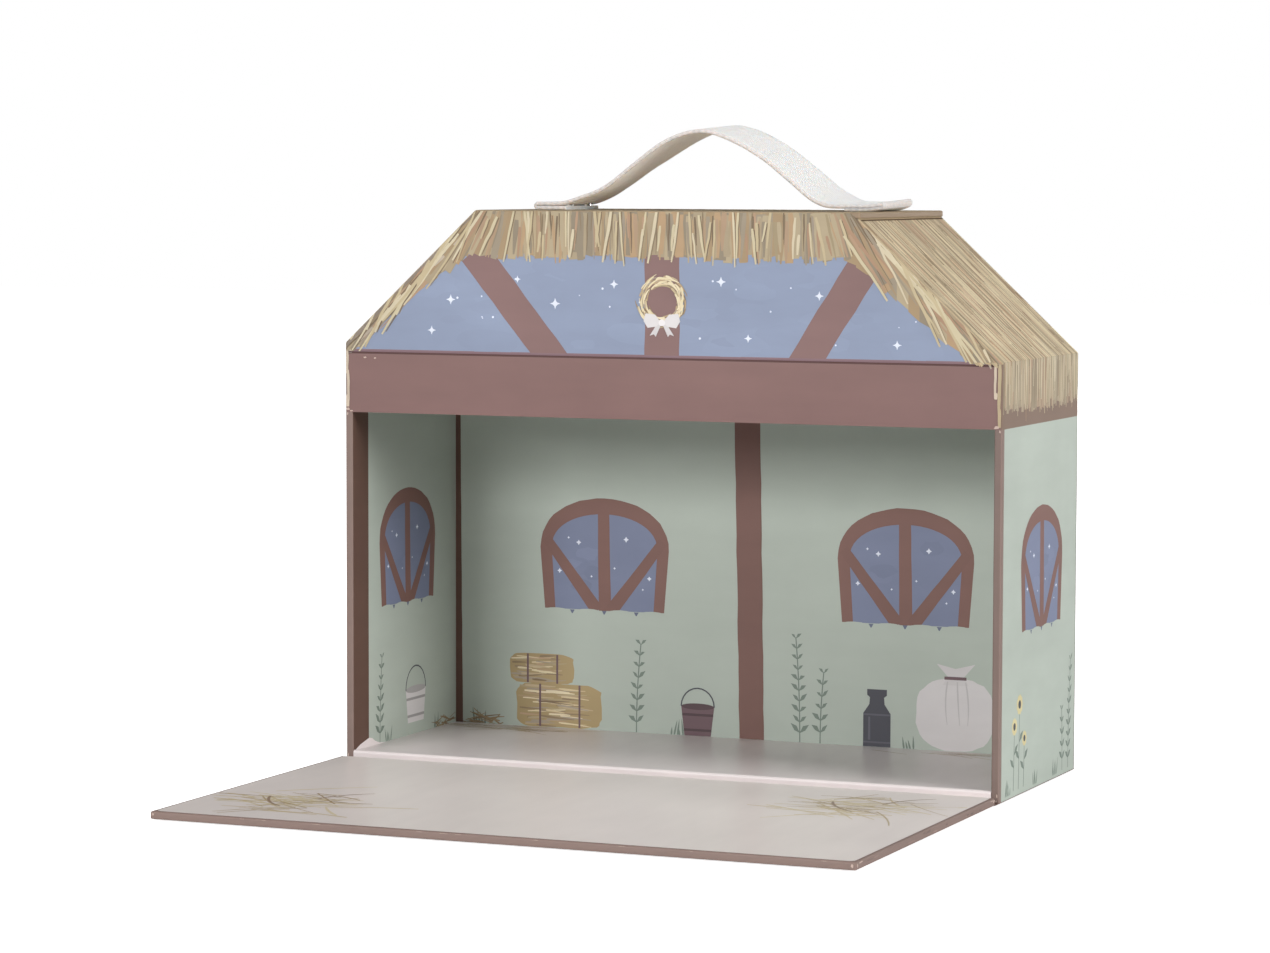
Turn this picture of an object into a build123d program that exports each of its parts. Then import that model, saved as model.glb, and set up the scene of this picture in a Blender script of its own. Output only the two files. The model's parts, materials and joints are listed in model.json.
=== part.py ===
from build123d import *
import math
import os

# Toy nativity stable: a barn-shaped carry case of paper-covered greyboard, in millimetres.
# X runs along the front, the open front faces -Y and Z is up. The origin is the centre of the
# case's underside, on the table. The door lies open on the table in front of the case.

# Case, over its papers
case_width = 280.0
case_depth = 101.0
eave_height = 169.5
roof_height = 226.5
lintel_depth = 24.3

# Greyboard and papers
board = 2.5
panel_board_thickness = 2.0
door_board_thickness = 2.5
floor_board_thickness = 1.5
paper = 0.3

# Flat top panel, whose ends stand past the slopes as a lip
top_length = 164.0
top_lip = 0.6
top_turn_in = 18.0

# Crease between the lintel and the gable
crease_drop = 1.2
crease_gap = 0.6

# Edge papers on the front edges of the side walls
edge_outer_turn = 2.7
edge_inner_turn = 14.0

# Door, open flat on the table. It turns about the front line of the gutter in its outer paper.
door_overlap = 14.5
door_clearance = 0.4
door_edge_gap = 1.0
door_turn_in = 1.5

# Magnets in the door and steel discs in the lintel
magnet_side_distance = 50.0
magnet_diameter = 10.0
magnet_thickness = 1.5
disc_diameter = 10.0
disc_thickness = 1.0
pocket_clearance = 0.1

# Webbing handle, both ends doubled under
webbing_width = 34.0
webbing_thickness = 1.6
handle_left_margin = 10.8
handle_right_margin = 1.5
handle_left_end_length = 15.0
handle_right_end_length = 20.0
handle_ply_gap = 0.8
handle_under_ply = 17.0
handle_rise = 29.2
arch_steepness = 1.28
arch_foot_share = 0.25

# Rivets of the handle and the plates behind them
rivet_diameter = 3.5
rivet_head_diameter = 7.0
rivet_tail_thickness = 0.8
rivet_spacing = 18.0
rivet_setback = 10.5
rivet_clearance = 0.05
plate_length = 10.0
plate_width = 30.0
plate_thickness = 1.0

# Places worked out from the sizes above
half_width = case_width / 2
front = -case_depth / 2
back = case_depth / 2
front_board = front + paper
back_board_face = back - paper
panel_thickness = panel_board_thickness + 2 * paper
panel_under = roof_height - panel_thickness
half_top = top_length / 2
slope_top_x = half_top - top_lip
slope_angle = math.atan2(panel_under - eave_height, half_width - slope_top_x)

inset_board = paper
inset_liner = paper + board
inset_inside = board + 2 * paper
inner_half = half_width - inset_inside

base_top = paper + board
floor_top = base_top + floor_board_thickness + paper
crease_height = eave_height - crease_drop
lintel_height = crease_height - lintel_depth
lintel_back = front_board + board
back_liner_face = back_board_face - board - paper
catch_height = lintel_height + door_overlap / 2

door_thickness = door_board_thickness + 2 * paper
pivot_y = front - door_clearance - door_thickness
door_hinge_edge = pivot_y - door_edge_gap
door_free_edge = pivot_y - lintel_height - door_overlap

magnet_x = half_width - magnet_side_distance

handle_left = handle_left_margin - half_top
handle_right = half_top - handle_right_margin
arch_left = handle_left + handle_left_end_length
arch_right = handle_right - handle_right_end_length
arch_half = (arch_right - arch_left) / 2
arch_middle = (arch_right + arch_left) / 2
rivet_places = [
    (x, y)
    for x in (handle_left + rivet_setback, handle_right - rivet_setback)
    for y in (-rivet_spacing / 2, rivet_spacing / 2)
]


def block(x0, x1, y0, y1, z0, z1):
    """A box between two opposite corners."""
    middle = ((x0 + x1) / 2, (y0 + y1) / 2, (z0 + z1) / 2)
    return Pos(*middle) * Box(x1 - x0, y1 - y0, z1 - z0)


def prism(points, y0, y1):
    """A polygon of (x, z) points drawn out in depth from y0 to y1."""
    face = Plane.XZ * make_face(Polyline(points, close=True))
    return Pos(0, y1, 0) * extrude(face, amount=y1 - y0)


def mirrored(points):
    """The same (x, z) points on the other side of the case."""
    return [(-x, z) for x, z in points]


def wall_line(inset):
    """Eave and ridge-end corners, on the right, of the case's outline moved in by an inset."""
    reach = math.sin(slope_angle) * half_width + math.cos(slope_angle) * eave_height - inset
    wall_x = half_width - inset
    eave = (wall_x, (reach - math.sin(slope_angle) * wall_x) / math.cos(slope_angle))
    top = ((reach - math.cos(slope_angle) * panel_under) / math.sin(slope_angle), panel_under)
    return eave, top


def house_block(inset, y0, y1, z0):
    """The case's whole outline moved in by an inset, above z0 and under the top panel."""
    eave, top = wall_line(inset)
    right = [(eave[0], z0), eave, top]
    return prism(right + mirrored(reversed(right)), y0, y1)


def wall_strip(outer, inner, z0):
    """Right side wall between two insets, mitred at the eave."""
    eave_out = wall_line(outer)[0]
    eave_in = wall_line(inner)[0]
    return [(eave_out[0], z0), eave_out, eave_in, (eave_in[0], z0)]


def slope_strip(outer, inner):
    """Right roof slope between two insets, mitred at the eave and cut level under the panel."""
    eave_out, top_out = wall_line(outer)
    eave_in, top_in = wall_line(inner)
    return [eave_out, top_out, top_in, eave_in]


def side_strip(outer, inner, z0):
    """Right side wall and roof slope between two insets, as one bent sheet."""
    eave_out, top_out = wall_line(outer)
    eave_in, top_in = wall_line(inner)
    return [(eave_out[0], z0), eave_out, top_out, top_in, eave_in, (eave_in[0], z0)]


def both_sides(points, y0, y1):
    """A left and a right prism of the same outline."""
    return prism(mirrored(points), y0, y1), prism(points, y0, y1)


def case_boards():
    """Greyboards of the case, the side walls and slopes running from front paper to back paper."""
    left_wall, right_wall = both_sides(
        wall_strip(inset_board, inset_liner, paper), front_board, back_board_face
    )
    left_roof, right_roof = both_sides(
        slope_strip(inset_board, inset_liner), front_board, back_board_face
    )
    between = half_width - inset_liner
    base = block(-between, between, front_board, back_board_face, paper, base_top)
    floor = block(
        -inner_half, inner_half, front_board, back_liner_face, base_top, floor_top - paper
    )
    back_panel = house_block(
        inset_liner, back_board_face - board, back_board_face, base_top
    )
    front_panel = house_block(inset_liner, front_board, lintel_back, lintel_height + paper)
    groove = block(
        -half_width,
        half_width,
        front,
        lintel_back,
        crease_height - crease_gap / 2,
        crease_height + crease_gap / 2,
    )
    below = block(-half_width, half_width, front, lintel_back, 0, crease_height)
    lintel = (front_panel & below) - groove
    for disc in catch_discs(disc_diameter + pocket_clearance, disc_thickness, front_board):
        lintel -= disc
    gable = front_panel - below - groove
    return {
        "base_board": base,
        "floor_board": floor,
        "back_board": back_panel,
        "left_wall_board": left_wall,
        "right_wall_board": right_wall,
        "left_roof_board": left_roof,
        "right_roof_board": right_roof,
        "lintel_board": lintel,
        "gable_board": gable,
    }


def catch_discs(diameter, thickness, face):
    """Two discs standing behind a plane of constant y, in line with the door's magnets."""
    disc = extrude(Plane.XZ * Circle(diameter / 2), amount=-thickness)
    return [Pos(x, face, catch_height) * disc for x in (-magnet_x, magnet_x)]


def rivet_holes():
    """Clearance holes for all rivets, through the top panel and what lies on it."""
    radius = rivet_diameter / 2 + rivet_clearance
    depth = panel_thickness + plate_thickness + webbing_thickness
    bottom = panel_under - plate_thickness
    hole = Pos(0, 0, depth / 2) * Cylinder(radius, depth)
    return [Pos(x, y, bottom) * hole for x, y in rivet_places]


def drilled(shape):
    """The shape with the rivet holes cut."""
    for hole in rivet_holes():
        shape -= hole
    return shape


def top_panel():
    """Flat top panel: board, paper turned round its ends, and lining between the turn-ins."""
    board_box = block(
        paper - half_top,
        half_top - paper,
        front_board,
        back_board_face,
        panel_under + paper,
        roof_height - paper,
    )
    whole = block(-half_top, half_top, front_board, back_board_face, panel_under, roof_height)
    lining = block(
        top_turn_in - half_top,
        half_top - top_turn_in,
        front_board,
        back_board_face,
        panel_under,
        panel_under + paper,
    )
    return {
        "top_board": drilled(board_box),
        "top_wrap": drilled(whole - board_box - lining),
        "top_liner": drilled(lining),
    }


def outer_papers():
    """Papers on the outside of the case, face to face with its boards."""
    left_print, right_print = both_sides(
        side_strip(0, inset_board, paper), front_board, back_board_face
    )
    turn_end = front_board + edge_outer_turn
    under_turn = block(-half_width, half_width, front, turn_end, 0, lintel_height)
    eave, top = wall_line(0)
    outline = [
        eave,
        top,
        (half_top, panel_under),
        (half_top, roof_height),
    ]
    above = [(half_width, lintel_height)] + outline
    front_sheet = prism(above + mirrored(reversed(above)), front, front_board)
    between = half_width - inset_liner
    lintel_turn = block(
        -between, between, front, lintel_back, lintel_height, lintel_height + paper
    )
    below = [(half_width, paper)] + outline
    back_sheet = prism(below + mirrored(reversed(below)), back_board_face, back)
    return {
        "left_side_print": left_print - under_turn,
        "right_side_print": right_print - under_turn,
        "front_print": front_sheet + lintel_turn,
        "back_print": back_sheet,
        "base_paper": block(-half_width, half_width, front, back, 0, paper),
    }


def edge_paper(side):
    """Paper turned round the front edge of one side wall, 1 for right and -1 for left."""
    face = block(inner_half, half_width, front, front_board, paper, lintel_height)
    outside = block(
        half_width - paper,
        half_width,
        front,
        front_board + edge_outer_turn,
        paper,
        lintel_height,
    )
    inside = block(
        inner_half,
        inner_half + paper,
        front,
        front_board + edge_inner_turn,
        base_top,
        lintel_height,
    )
    sheet = face + outside + inside
    return sheet if side > 0 else mirror(sheet, about=Plane.YZ)


def inner_papers():
    """Linings inside the case."""
    left_liner, right_liner = both_sides(
        side_strip(inset_liner, inset_inside, base_top), lintel_back, back_board_face - board
    )
    turn_end = front_board + edge_inner_turn
    turned = block(-half_width, half_width, front, turn_end, 0, lintel_height)
    back_liner = house_block(
        inset_inside, back_liner_face, back_board_face - board, base_top
    )
    gable_liner = house_block(
        inset_inside, lintel_back, lintel_back + paper, lintel_height
    )
    floor_sheet = block(
        -inner_half, inner_half, front, back_liner_face, floor_top - paper, floor_top
    )
    floor_drop = block(-inner_half, inner_half, front, front_board, paper, floor_top)
    return {
        "left_liner": left_liner - turned,
        "right_liner": right_liner - turned,
        "back_liner": back_liner,
        "gable_liner": gable_liner,
        "floor_liner": floor_sheet + floor_drop,
    }


def door_magnet_holes(diameter, thickness):
    """Two discs under the inner face of the open door's board, clear of the lintel's edge."""
    y = pivot_y - catch_height
    top = door_thickness - paper
    disc = Pos(0, 0, -thickness / 2) * Cylinder(diameter / 2, thickness)
    return [Pos(x, y, top) * disc for x in (-magnet_x, magnet_x)]


def door():
    """Door lying open: board, brown paper round it, inner paper and two magnets."""
    board_box = block(
        paper - half_width,
        half_width - paper,
        door_free_edge + paper,
        door_hinge_edge - paper,
        paper,
        door_thickness - paper,
    )
    whole = block(
        -half_width, half_width, door_free_edge, door_hinge_edge, 0, door_thickness
    )
    liner_half = half_width - door_turn_in
    liner_sheet = block(
        -liner_half,
        liner_half,
        door_free_edge + door_turn_in,
        door_hinge_edge,
        door_thickness - paper,
        door_thickness,
    )
    liner_drop = block(
        -liner_half,
        liner_half,
        door_hinge_edge - paper,
        door_hinge_edge,
        paper,
        door_thickness,
    )
    liner = liner_sheet + liner_drop
    pocketed = board_box
    for hole in door_magnet_holes(magnet_diameter + pocket_clearance, magnet_thickness):
        pocketed -= hole
    return {
        "door_board": pocketed,
        "door_wrap": whole - board_box - liner,
        "door_liner": liner,
        "door_magnets": Compound(
            children=door_magnet_holes(magnet_diameter, magnet_thickness)
        ),
    }


def hinge_papers():
    """Outer paper of the door's gutter and the strip that lines it."""
    half_lining = half_width - door_turn_in
    return {
        "hinge_strip": block(-half_width, half_width, door_hinge_edge, front, 0, paper),
        "hinge_liner": block(
            -half_lining, half_lining, door_hinge_edge, front, paper, 2 * paper
        ),
    }


def handle_path(end_length):
    """Middle line of the webbing from the arch's crown out to the tucked inner end of its under ply."""
    half = webbing_thickness / 2
    low = roof_height + half
    high = low + webbing_thickness + handle_ply_gap
    bend = (high - low) / 2
    foot_x = arch_half
    fold_x = foot_x + end_length - half - bend
    steep = arch_steepness * math.atan2(handle_rise, foot_x)
    turn_sum = foot_x * math.sin(steep) - handle_rise * math.cos(steep)
    turn_sum /= 1 - math.cos(steep)
    foot_radius = arch_foot_share * turn_sum
    crown_radius = turn_sum - foot_radius
    crown_x = crown_radius * math.sin(steep)
    crown_low = high + handle_rise - crown_radius * (1 - math.cos(steep))
    rise_x = foot_x - foot_radius * math.sin(steep)
    rise_z = high + foot_radius * (1 - math.cos(steep))
    under_x = foot_x + end_length - handle_under_ply
    return [
        ThreePointArc(
            (0, high + handle_rise),
            (
                crown_radius * math.sin(steep / 2),
                high + handle_rise - crown_radius * (1 - math.cos(steep / 2)),
            ),
            (crown_x, crown_low),
        ),
        Line((crown_x, crown_low), (rise_x, rise_z)),
        ThreePointArc(
            (rise_x, rise_z),
            (
                foot_x - foot_radius * math.sin(steep / 2),
                high + foot_radius * (1 - math.cos(steep / 2)),
            ),
            (foot_x, high),
        ),
        Line((foot_x, high), (fold_x, high)),
        ThreePointArc((fold_x, high), (fold_x + bend, high - bend), (fold_x, low)),
        Line((fold_x, low), (under_x, low)),
    ]


def half_strap(end_length):
    """Right half of the webbing, its crown at x = 0."""
    section = Plane(origin=(0, 0, 0), x_dir=(0, 1, 0), z_dir=(1, 0, 0))
    start_z = roof_height + webbing_thickness * 1.5 + handle_ply_gap + handle_rise
    face = Pos(0, 0, start_z) * (section * Rectangle(webbing_width, webbing_thickness))
    path = Wire([Plane.XZ * edge for edge in handle_path(end_length)])
    return sweep(face, path=path)


def handle():
    """Webbing handle, its rivets under the upper ply, and the plates behind the panel."""
    left_half = mirror(half_strap(handle_left_end_length), about=Plane.YZ)
    strap = half_strap(handle_right_end_length) + left_half
    strap = drilled(Pos(arch_middle, 0, 0) * strap)

    head_bottom = roof_height + webbing_thickness
    tail_top = panel_under - plate_thickness
    shank_length = head_bottom - tail_top
    head = Pos(0, 0, head_bottom + handle_ply_gap / 2) * Cylinder(
        rivet_head_diameter / 2, handle_ply_gap
    )
    shank = Pos(0, 0, tail_top + shank_length / 2) * Cylinder(
        rivet_diameter / 2, shank_length
    )
    tail = Pos(0, 0, tail_top - rivet_tail_thickness / 2) * Cylinder(
        rivet_head_diameter / 2, rivet_tail_thickness
    )
    rivet = head + shank + tail
    rivets = [Pos(x, y, 0) * rivet for x, y in rivet_places]

    plates = []
    for x in (handle_left + rivet_setback, handle_right - rivet_setback):
        plate = block(
            x - plate_length / 2,
            x + plate_length / 2,
            -plate_width / 2,
            plate_width / 2,
            tail_top,
            panel_under,
        )
        plates.append(drilled(plate))
    return {
        "handle_strap": strap,
        "handle_rivets": Compound(children=rivets),
        "handle_backing_plates": Compound(children=plates),
    }


def build_nodes():
    """Every piece of the stable by name."""
    nodes = {}
    nodes.update(case_boards())
    nodes.update(top_panel())
    nodes.update(outer_papers())
    nodes["left_edge_paper"] = edge_paper(-1)
    nodes["right_edge_paper"] = edge_paper(1)
    nodes.update(inner_papers())
    nodes["lintel_discs"] = Compound(
        children=catch_discs(disc_diameter, disc_thickness, front_board)
    )
    nodes.update(door())
    nodes.update(hinge_papers())
    nodes.update(handle())
    return nodes


os.makedirs("parts", exist_ok=True)
for name, shape in build_nodes().items():
    export_step(shape, f"parts/{name}.step")
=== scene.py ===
"""Toy nativity stable: a printed barn-shaped carry case, its door lying open, with a webbing handle."""

import json
import random
from math import atan2, copysign, cos, degrees, hypot, pi, radians, sin, tan

import bmesh
import bpy
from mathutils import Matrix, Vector


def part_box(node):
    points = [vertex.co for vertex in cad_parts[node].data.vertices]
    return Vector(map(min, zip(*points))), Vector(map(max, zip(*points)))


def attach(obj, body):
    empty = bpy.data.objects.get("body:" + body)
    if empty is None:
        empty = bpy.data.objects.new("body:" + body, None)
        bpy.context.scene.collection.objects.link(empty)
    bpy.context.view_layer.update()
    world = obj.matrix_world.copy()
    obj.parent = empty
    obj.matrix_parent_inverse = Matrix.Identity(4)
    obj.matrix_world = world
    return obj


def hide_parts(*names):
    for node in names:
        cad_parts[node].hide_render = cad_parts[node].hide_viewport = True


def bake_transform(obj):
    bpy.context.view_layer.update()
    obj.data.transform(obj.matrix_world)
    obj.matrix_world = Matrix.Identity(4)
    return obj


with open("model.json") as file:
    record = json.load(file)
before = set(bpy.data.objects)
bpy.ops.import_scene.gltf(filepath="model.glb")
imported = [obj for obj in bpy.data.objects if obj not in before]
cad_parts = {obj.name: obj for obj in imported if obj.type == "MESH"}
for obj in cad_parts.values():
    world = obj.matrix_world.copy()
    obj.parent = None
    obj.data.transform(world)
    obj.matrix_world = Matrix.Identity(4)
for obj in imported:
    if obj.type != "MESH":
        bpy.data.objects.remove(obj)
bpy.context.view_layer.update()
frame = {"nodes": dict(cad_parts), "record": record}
nodes = frame["nodes"]

MM = 0.001
NEARLY = 0.01
rng = random.Random(24)

# The case seen from the front

SIDES = (-1, 1)
SIDE_NAMES = {-1: "left", 1: "right"}


# Sizes read from the frame, in millimetres

def edge(node, corner, axis):
    """One side of a CAD node's box: corner 0 is low and 1 is high."""
    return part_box(node)[corner][axis] / MM


def node_points(node):
    """A CAD node's vertices."""
    return [v.co / MM for v in nodes[node].data.vertices]


HALF_WIDTH = edge("base_paper", 1, 0)
FRONT = edge("base_paper", 0, 1)
BACK = edge("base_paper", 1, 1)
PAPER = edge("base_paper", 1, 2)
EAVE = max(p.z for p in node_points("right_side_print") if p.x > HALF_WIDTH - NEARLY)
RIDGE = edge("top_wrap", 1, 2)
PANEL_UNDER = edge("top_wrap", 0, 2)
HALF_TOP = edge("top_wrap", 1, 0)
SLOPE_TOP_X = max(p.x for p in node_points("right_side_print") if p.z > PANEL_UNDER - NEARLY)
LINTEL = edge("front_print", 0, 2)
LINTEL_TURN = edge("front_print", 1, 1)
CREASE = (edge("lintel_board", 1, 2) + edge("gable_board", 0, 2)) / 2
INNER_HALF = edge("floor_liner", 1, 0)
FLOOR_TOP = edge("floor_liner", 1, 2)
BACK_INSIDE = edge("back_liner", 0, 1)
TURN_IN_END = edge("left_edge_paper", 1, 1)
DOOR_FREE = edge("door_wrap", 0, 1)
DOOR_HINGE = edge("door_wrap", 1, 1)
DOOR_TOP = edge("door_wrap", 1, 2)
LINER_HALF = edge("door_liner", 1, 0)
STRAP_LEFT = edge("handle_strap", 0, 0)
STRAP_RIGHT = edge("handle_strap", 1, 0)
WEBBING_WIDTH = edge("handle_strap", 1, 1) - edge("handle_strap", 0, 1)

SLOPE_RUN = HALF_WIDTH - SLOPE_TOP_X
SLOPE_RISE = PANEL_UNDER - EAVE
SLOPE_LENGTH = hypot(SLOPE_RUN, SLOPE_RISE)
SLOPE_ANGLE = atan2(SLOPE_RISE, SLOPE_RUN)

# The left slope's paper stands out from its board, which lifts its eave and runs it up to the top

LEFT_STAND_OUT = 2.1
LEFT_TOP_GAP = 0.3
EAVES = {-1: EAVE + LEFT_STAND_OUT / cos(SLOPE_ANGLE), 1: EAVE}
SLOPE_TOPS = {-1: RIDGE - LEFT_TOP_GAP, 1: PANEL_UNDER}

# Paper work

EDGE_RADIUS = 0.5
EAVE_RADIUS = 1.2
TOP_EDGE_RADIUS = 0.7
DOOR_EDGE_RADIUS = 0.75
DOOR_COVER_SINK = 0.06
SHEET = 0.25
THIN_SHEET = 0.2
LINING_SHEET = 0.15
OUTER_TURN = max(p.y for p in node_points("left_edge_paper") if p.x < NEARLY - HALF_WIDTH) - FRONT
BACK_TURN = 1.2
WALL_SPLIT = 40.0
TURN_IN_SPLIT = 6.0
SWEPT_COLUMNS = 9
SKY_FOOT = CREASE + 1.4
MAUVE_TOP = CREASE + 1.5
CREASE_HALF = 0.4
CREASE_SECTION = ((-0.9, 0.0), (-CREASE_HALF, 0.2), (0.0, 0.34), (CREASE_HALF, 0.2), (0.9, 0.0))

# The floor's front fold, the door's gutter and the door's lining

FLOOR_ROLL = 1.1
FLOOR_RISE = 0.35
FOLD_FOOT = 3.4
FOLD_MIDDLE = 2.4
FOLD_FLAT = 0.4
GUTTER_UNDER = 0.25
GUTTER_LINING = 1.9
GUTTER_DIP = 1.25
GUTTER_INSET = 0.5
LINING_RADIUS = 2.4
FREE_MARGIN = 1.6
HINGE_MARGIN = 0.2

# Webbing

WEBBING_THICK = 1.6
PLY_GAP = 0.05
LEFT_UNDER_PLY = 14.3
RIGHT_UNDER_PLY = 17.0
END_CURL = 1.6
CURL_LENGTH = 9.0
SCALLOP_DEPTH = 0.13
SCALLOP_LENGTH = 2.6
WEAVE_PITCH = (1.3, 0.9)
WEAVE_SLANT = 0.4

# Height of the webbing's middle above its lying upper ply, and of its back edge above its front edge, along x

STRAP_ARCH = (
    (-64, 0.0), (-56, 0.9), (-42, 6.9), (-28, 16.2), (-12, 26.1), (2, 30.2),
    (14, 27.8), (28, 20.6), (40, 11.7), (50, 3.9), (58, 0.5), (66, 0.0),
)
STRAP_TILT = (
    (-68, 0.0), (-58, 0.2), (-50, 0.9), (-42, 2.9), (-34, 3.2), (-26, 1.8), (-16, 0.6), (-4, 1.2),
    (14, 3.2), (30, 3.6), (46, 4.2), (54, 3.4), (62, 1.2),
)

# Colours (sRGB, 0 to 255)

BROWN = (129, 99, 95)
CREASE_SHADE_BROWN = (86, 57, 55)
CREASE_MAUVE = (134, 108, 114)
BAND_BROWN = (131, 109, 95)
BEAM_BROWN = (133, 104, 101)
DARK_BROWN = (97, 71, 61)
EDGE_BROWN = (138, 117, 109)
SKY = (139, 150, 174)
PANE = (124, 132, 158)
FRAME_BROWN = (130, 96, 88)
SAGE = (181, 190, 180)
SPRIG = (121, 134, 124)
STRAW_BASE = (186, 167, 136)
STRAW_PATCHES = [
    (186, 168, 138), (172, 158, 136), (198, 166, 128), (182, 156, 120), (160, 146, 124), (196, 178, 146),
]
STRAW_MIDS = [
    (184, 166, 134), (190, 160, 130), (170, 156, 138), (178, 160, 126), (196, 176, 142), (182, 158, 124),
]
STRAW_LIGHTS = [(224, 210, 174), (230, 216, 184), (214, 196, 158)]
STRAW_DARKS = [(146, 126, 98), (134, 114, 90), (156, 136, 108)]
ROOF_MIDS = [(184, 168, 142), (174, 158, 132), (192, 174, 148), (168, 152, 127), (188, 162, 136)]
ROOF_LIGHTS = [(214, 198, 165), (206, 190, 158), (220, 206, 175)]
ROOF_DARKS = [(146, 128, 102), (136, 118, 94), (156, 138, 112)]
STRAW_PINKS = [(196, 162, 132), (188, 152, 122)]
LIP_TAN = (149, 128, 104)
LIP_SHADOW_BROWN = (92, 72, 50)
SLOPE_EDGE = (150, 136, 122)
LAP_CREAM = (205, 188, 168)
STAR_WHITE = (226, 231, 243)
FLOOR_PAPER = (234, 224, 223)
DOOR_PAPER = (238, 229, 224)
WEAR = (198, 176, 164)
CREAM = (216, 212, 212)
COTTON = (247, 244, 240)
UNDERSIDE_LIGHT_COTTON = (255, 247, 241)
WEBBING_EDGE_SHADE = (218, 211, 208)
SLATE = (76, 76, 84)
PLUM = (112, 89, 94)
HONEY = (212, 200, 152)
BALE_TAN = (174, 153, 112)
TRIM_DARK = (100, 95, 86)
DOOR_PALES = [(222, 206, 168), (214, 196, 158), (228, 214, 182)]
DOOR_DARKS = [(190, 168, 128), (180, 156, 118), (198, 178, 142)]
FLOOR_OCHRES = [(176, 154, 112), (160, 138, 100), (190, 170, 130)]
STALK_BROWN = (166, 142, 122)
GREYBOARD = (150, 143, 134)
NICKEL = (190, 188, 184)
MAGNET = (205, 205, 205)
STUDIO_WHITE = (247, 247, 247)

# Painted shade and light: the same colours printed darker or lighter on faces that the light reaches
# differently

GABLE_SHADE_TONE = 0.9
EAVE_SHADE_TONE = 0.92
SLOPE_LIGHT_TONE = 1.04
POST_SHADE_TONES = {-1: 0.98, 1: 0.9}
# The room's middle post: its frame brown printed a little darker
ROOM_POST_TONE = 0.95


def linear(colour):
    """sRGB 0 to 255 to linear 0 to 1, with alpha."""
    out = []
    for c in colour:
        c = min(c, 255) / 255
        out.append(c / 12.92 if c <= 0.04045 else ((c + 0.055) / 1.055) ** 2.4)
    return (*out, 1.0)


def shade(colour, factor):
    """The same colour, lighter or darker."""
    return tuple(c * factor for c in colour)


# Materials

NOISE_SPAN = (0.3, 0.7)
BRUSH_SHARE = 0.6


class Nodes:
    """A node material being made: its tree, its shader and the helpers that the materials share."""

    def __init__(self, name):
        self.material = bpy.data.materials.new(name)
        self.material.use_nodes = True
        self.tree = self.material.node_tree
        self.shader = self.tree.nodes["Principled BSDF"]
        self.place = self.add("TexCoord").outputs["Object"]

    def join(self, value, socket):
        """A socket set to a value, or linked where the value is another node's output."""
        if isinstance(value, bpy.types.NodeSocket):
            self.tree.links.new(value, socket)
        else:
            socket.default_value = value

    def fill(self, node, values):
        """A node's sockets, joined by name."""
        for name, value in values.items():
            self.join(value, node.inputs[name.replace("_", " ")])
        return node

    def add(self, kind, operation=None, **values):
        """A new node."""
        node = self.tree.nodes.new("ShaderNode" + kind)
        if operation:
            node.operation = operation
        return self.fill(node, values)

    def maths(self, operation, *values):
        """One sum of numbers and outputs."""
        node = self.add("Math", operation)
        for value, socket in zip(values, node.inputs):
            self.join(value, socket)
        return node.outputs[0]

    def noise(self, place, scale, detail):
        """Cloudy noise, 0 to 1."""
        return self.add("TexNoise", Vector=place, Scale=scale, Detail=detail).outputs["Fac"]

    def ranged(self, value, low, high, span=NOISE_SPAN):
        """A value mapped from its span to low to high."""
        ends = zip(("From_Min", "From_Max", "To_Min", "To_Max"), (*span, low, high))
        return self.add("MapRange", Value=value, **dict(ends)).outputs["Result"]

    def plain(self, colour):
        """One sRGB colour."""
        output = self.add("RGB").outputs[0]
        output.default_value = linear(colour)
        return output

    def attribute(self, name, output="Color"):
        """What a mesh attribute holds."""
        node = self.add("Attribute")
        node.attribute_name = name
        return node.outputs[output]

    def paint(self, colour, *factors):
        """Base colour: a colour times some numbers."""
        for factor in factors:
            colour = self.add("VectorMath", "SCALE", Vector=colour, Scale=factor).outputs[0]
        self.surface(Base_Color=colour)

    def relief(self, height, strength, distance):
        """Bump from a height, its distance in metres."""
        bump = self.add("Bump", Height=height, Strength=strength, Distance=distance)
        self.surface(Normal=bump.outputs["Normal"])

    def surface(self, **values):
        """Sockets of the shader."""
        self.fill(self.shader, values)


def paper_material(name, colour=None, roughness=0.55, mottle=0.05, fibre=0.25, coat=0.0, grain=(30, 30, 120)):
    """Printed paper: washes, brush grain and fibre. With no colour it takes the mesh's ink."""
    make = Nodes(name)
    streak = mottle * BRUSH_SHARE
    grained = make.add("Mapping", Vector=make.place, Scale=grain).outputs["Vector"]
    wash = make.ranged(make.noise(make.place, 20, 4), 1 - mottle, 1 + mottle)
    brush = make.ranged(make.noise(grained, 1, 5), 1 - streak, 1 + streak)
    make.paint(make.plain(colour) if colour else make.attribute("ink"), wash, brush)
    make.surface(Roughness=roughness, Specular_IOR_Level=0.35, Coat_Weight=coat, Coat_Roughness=0.3)
    make.relief(make.noise(make.place, 1400, 4), fibre, 0.00004)
    return make.material


def board_material():
    """Raw grey board with flecks of fibre."""
    make = Nodes("greyboard")
    make.paint(make.plain(GREYBOARD), make.ranged(make.noise(make.place, 700, 6), 0.86, 1.12))
    make.surface(Roughness=0.9)
    make.relief(make.noise(make.place, 900, 5), 0.4, 0.00006)
    return make.material


def steel_material(name, colour, roughness):
    """Nickel-plated steel with a slightly uneven polish."""
    make = Nodes(name)
    make.paint(make.plain(colour), make.ranged(make.noise(make.place, 300, 3), 0.92, 1.06))
    make.surface(Metallic=1.0, Roughness=roughness)
    make.relief(make.noise(make.place, 2000, 2), 0.1, 0.00002)
    return make.material


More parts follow.
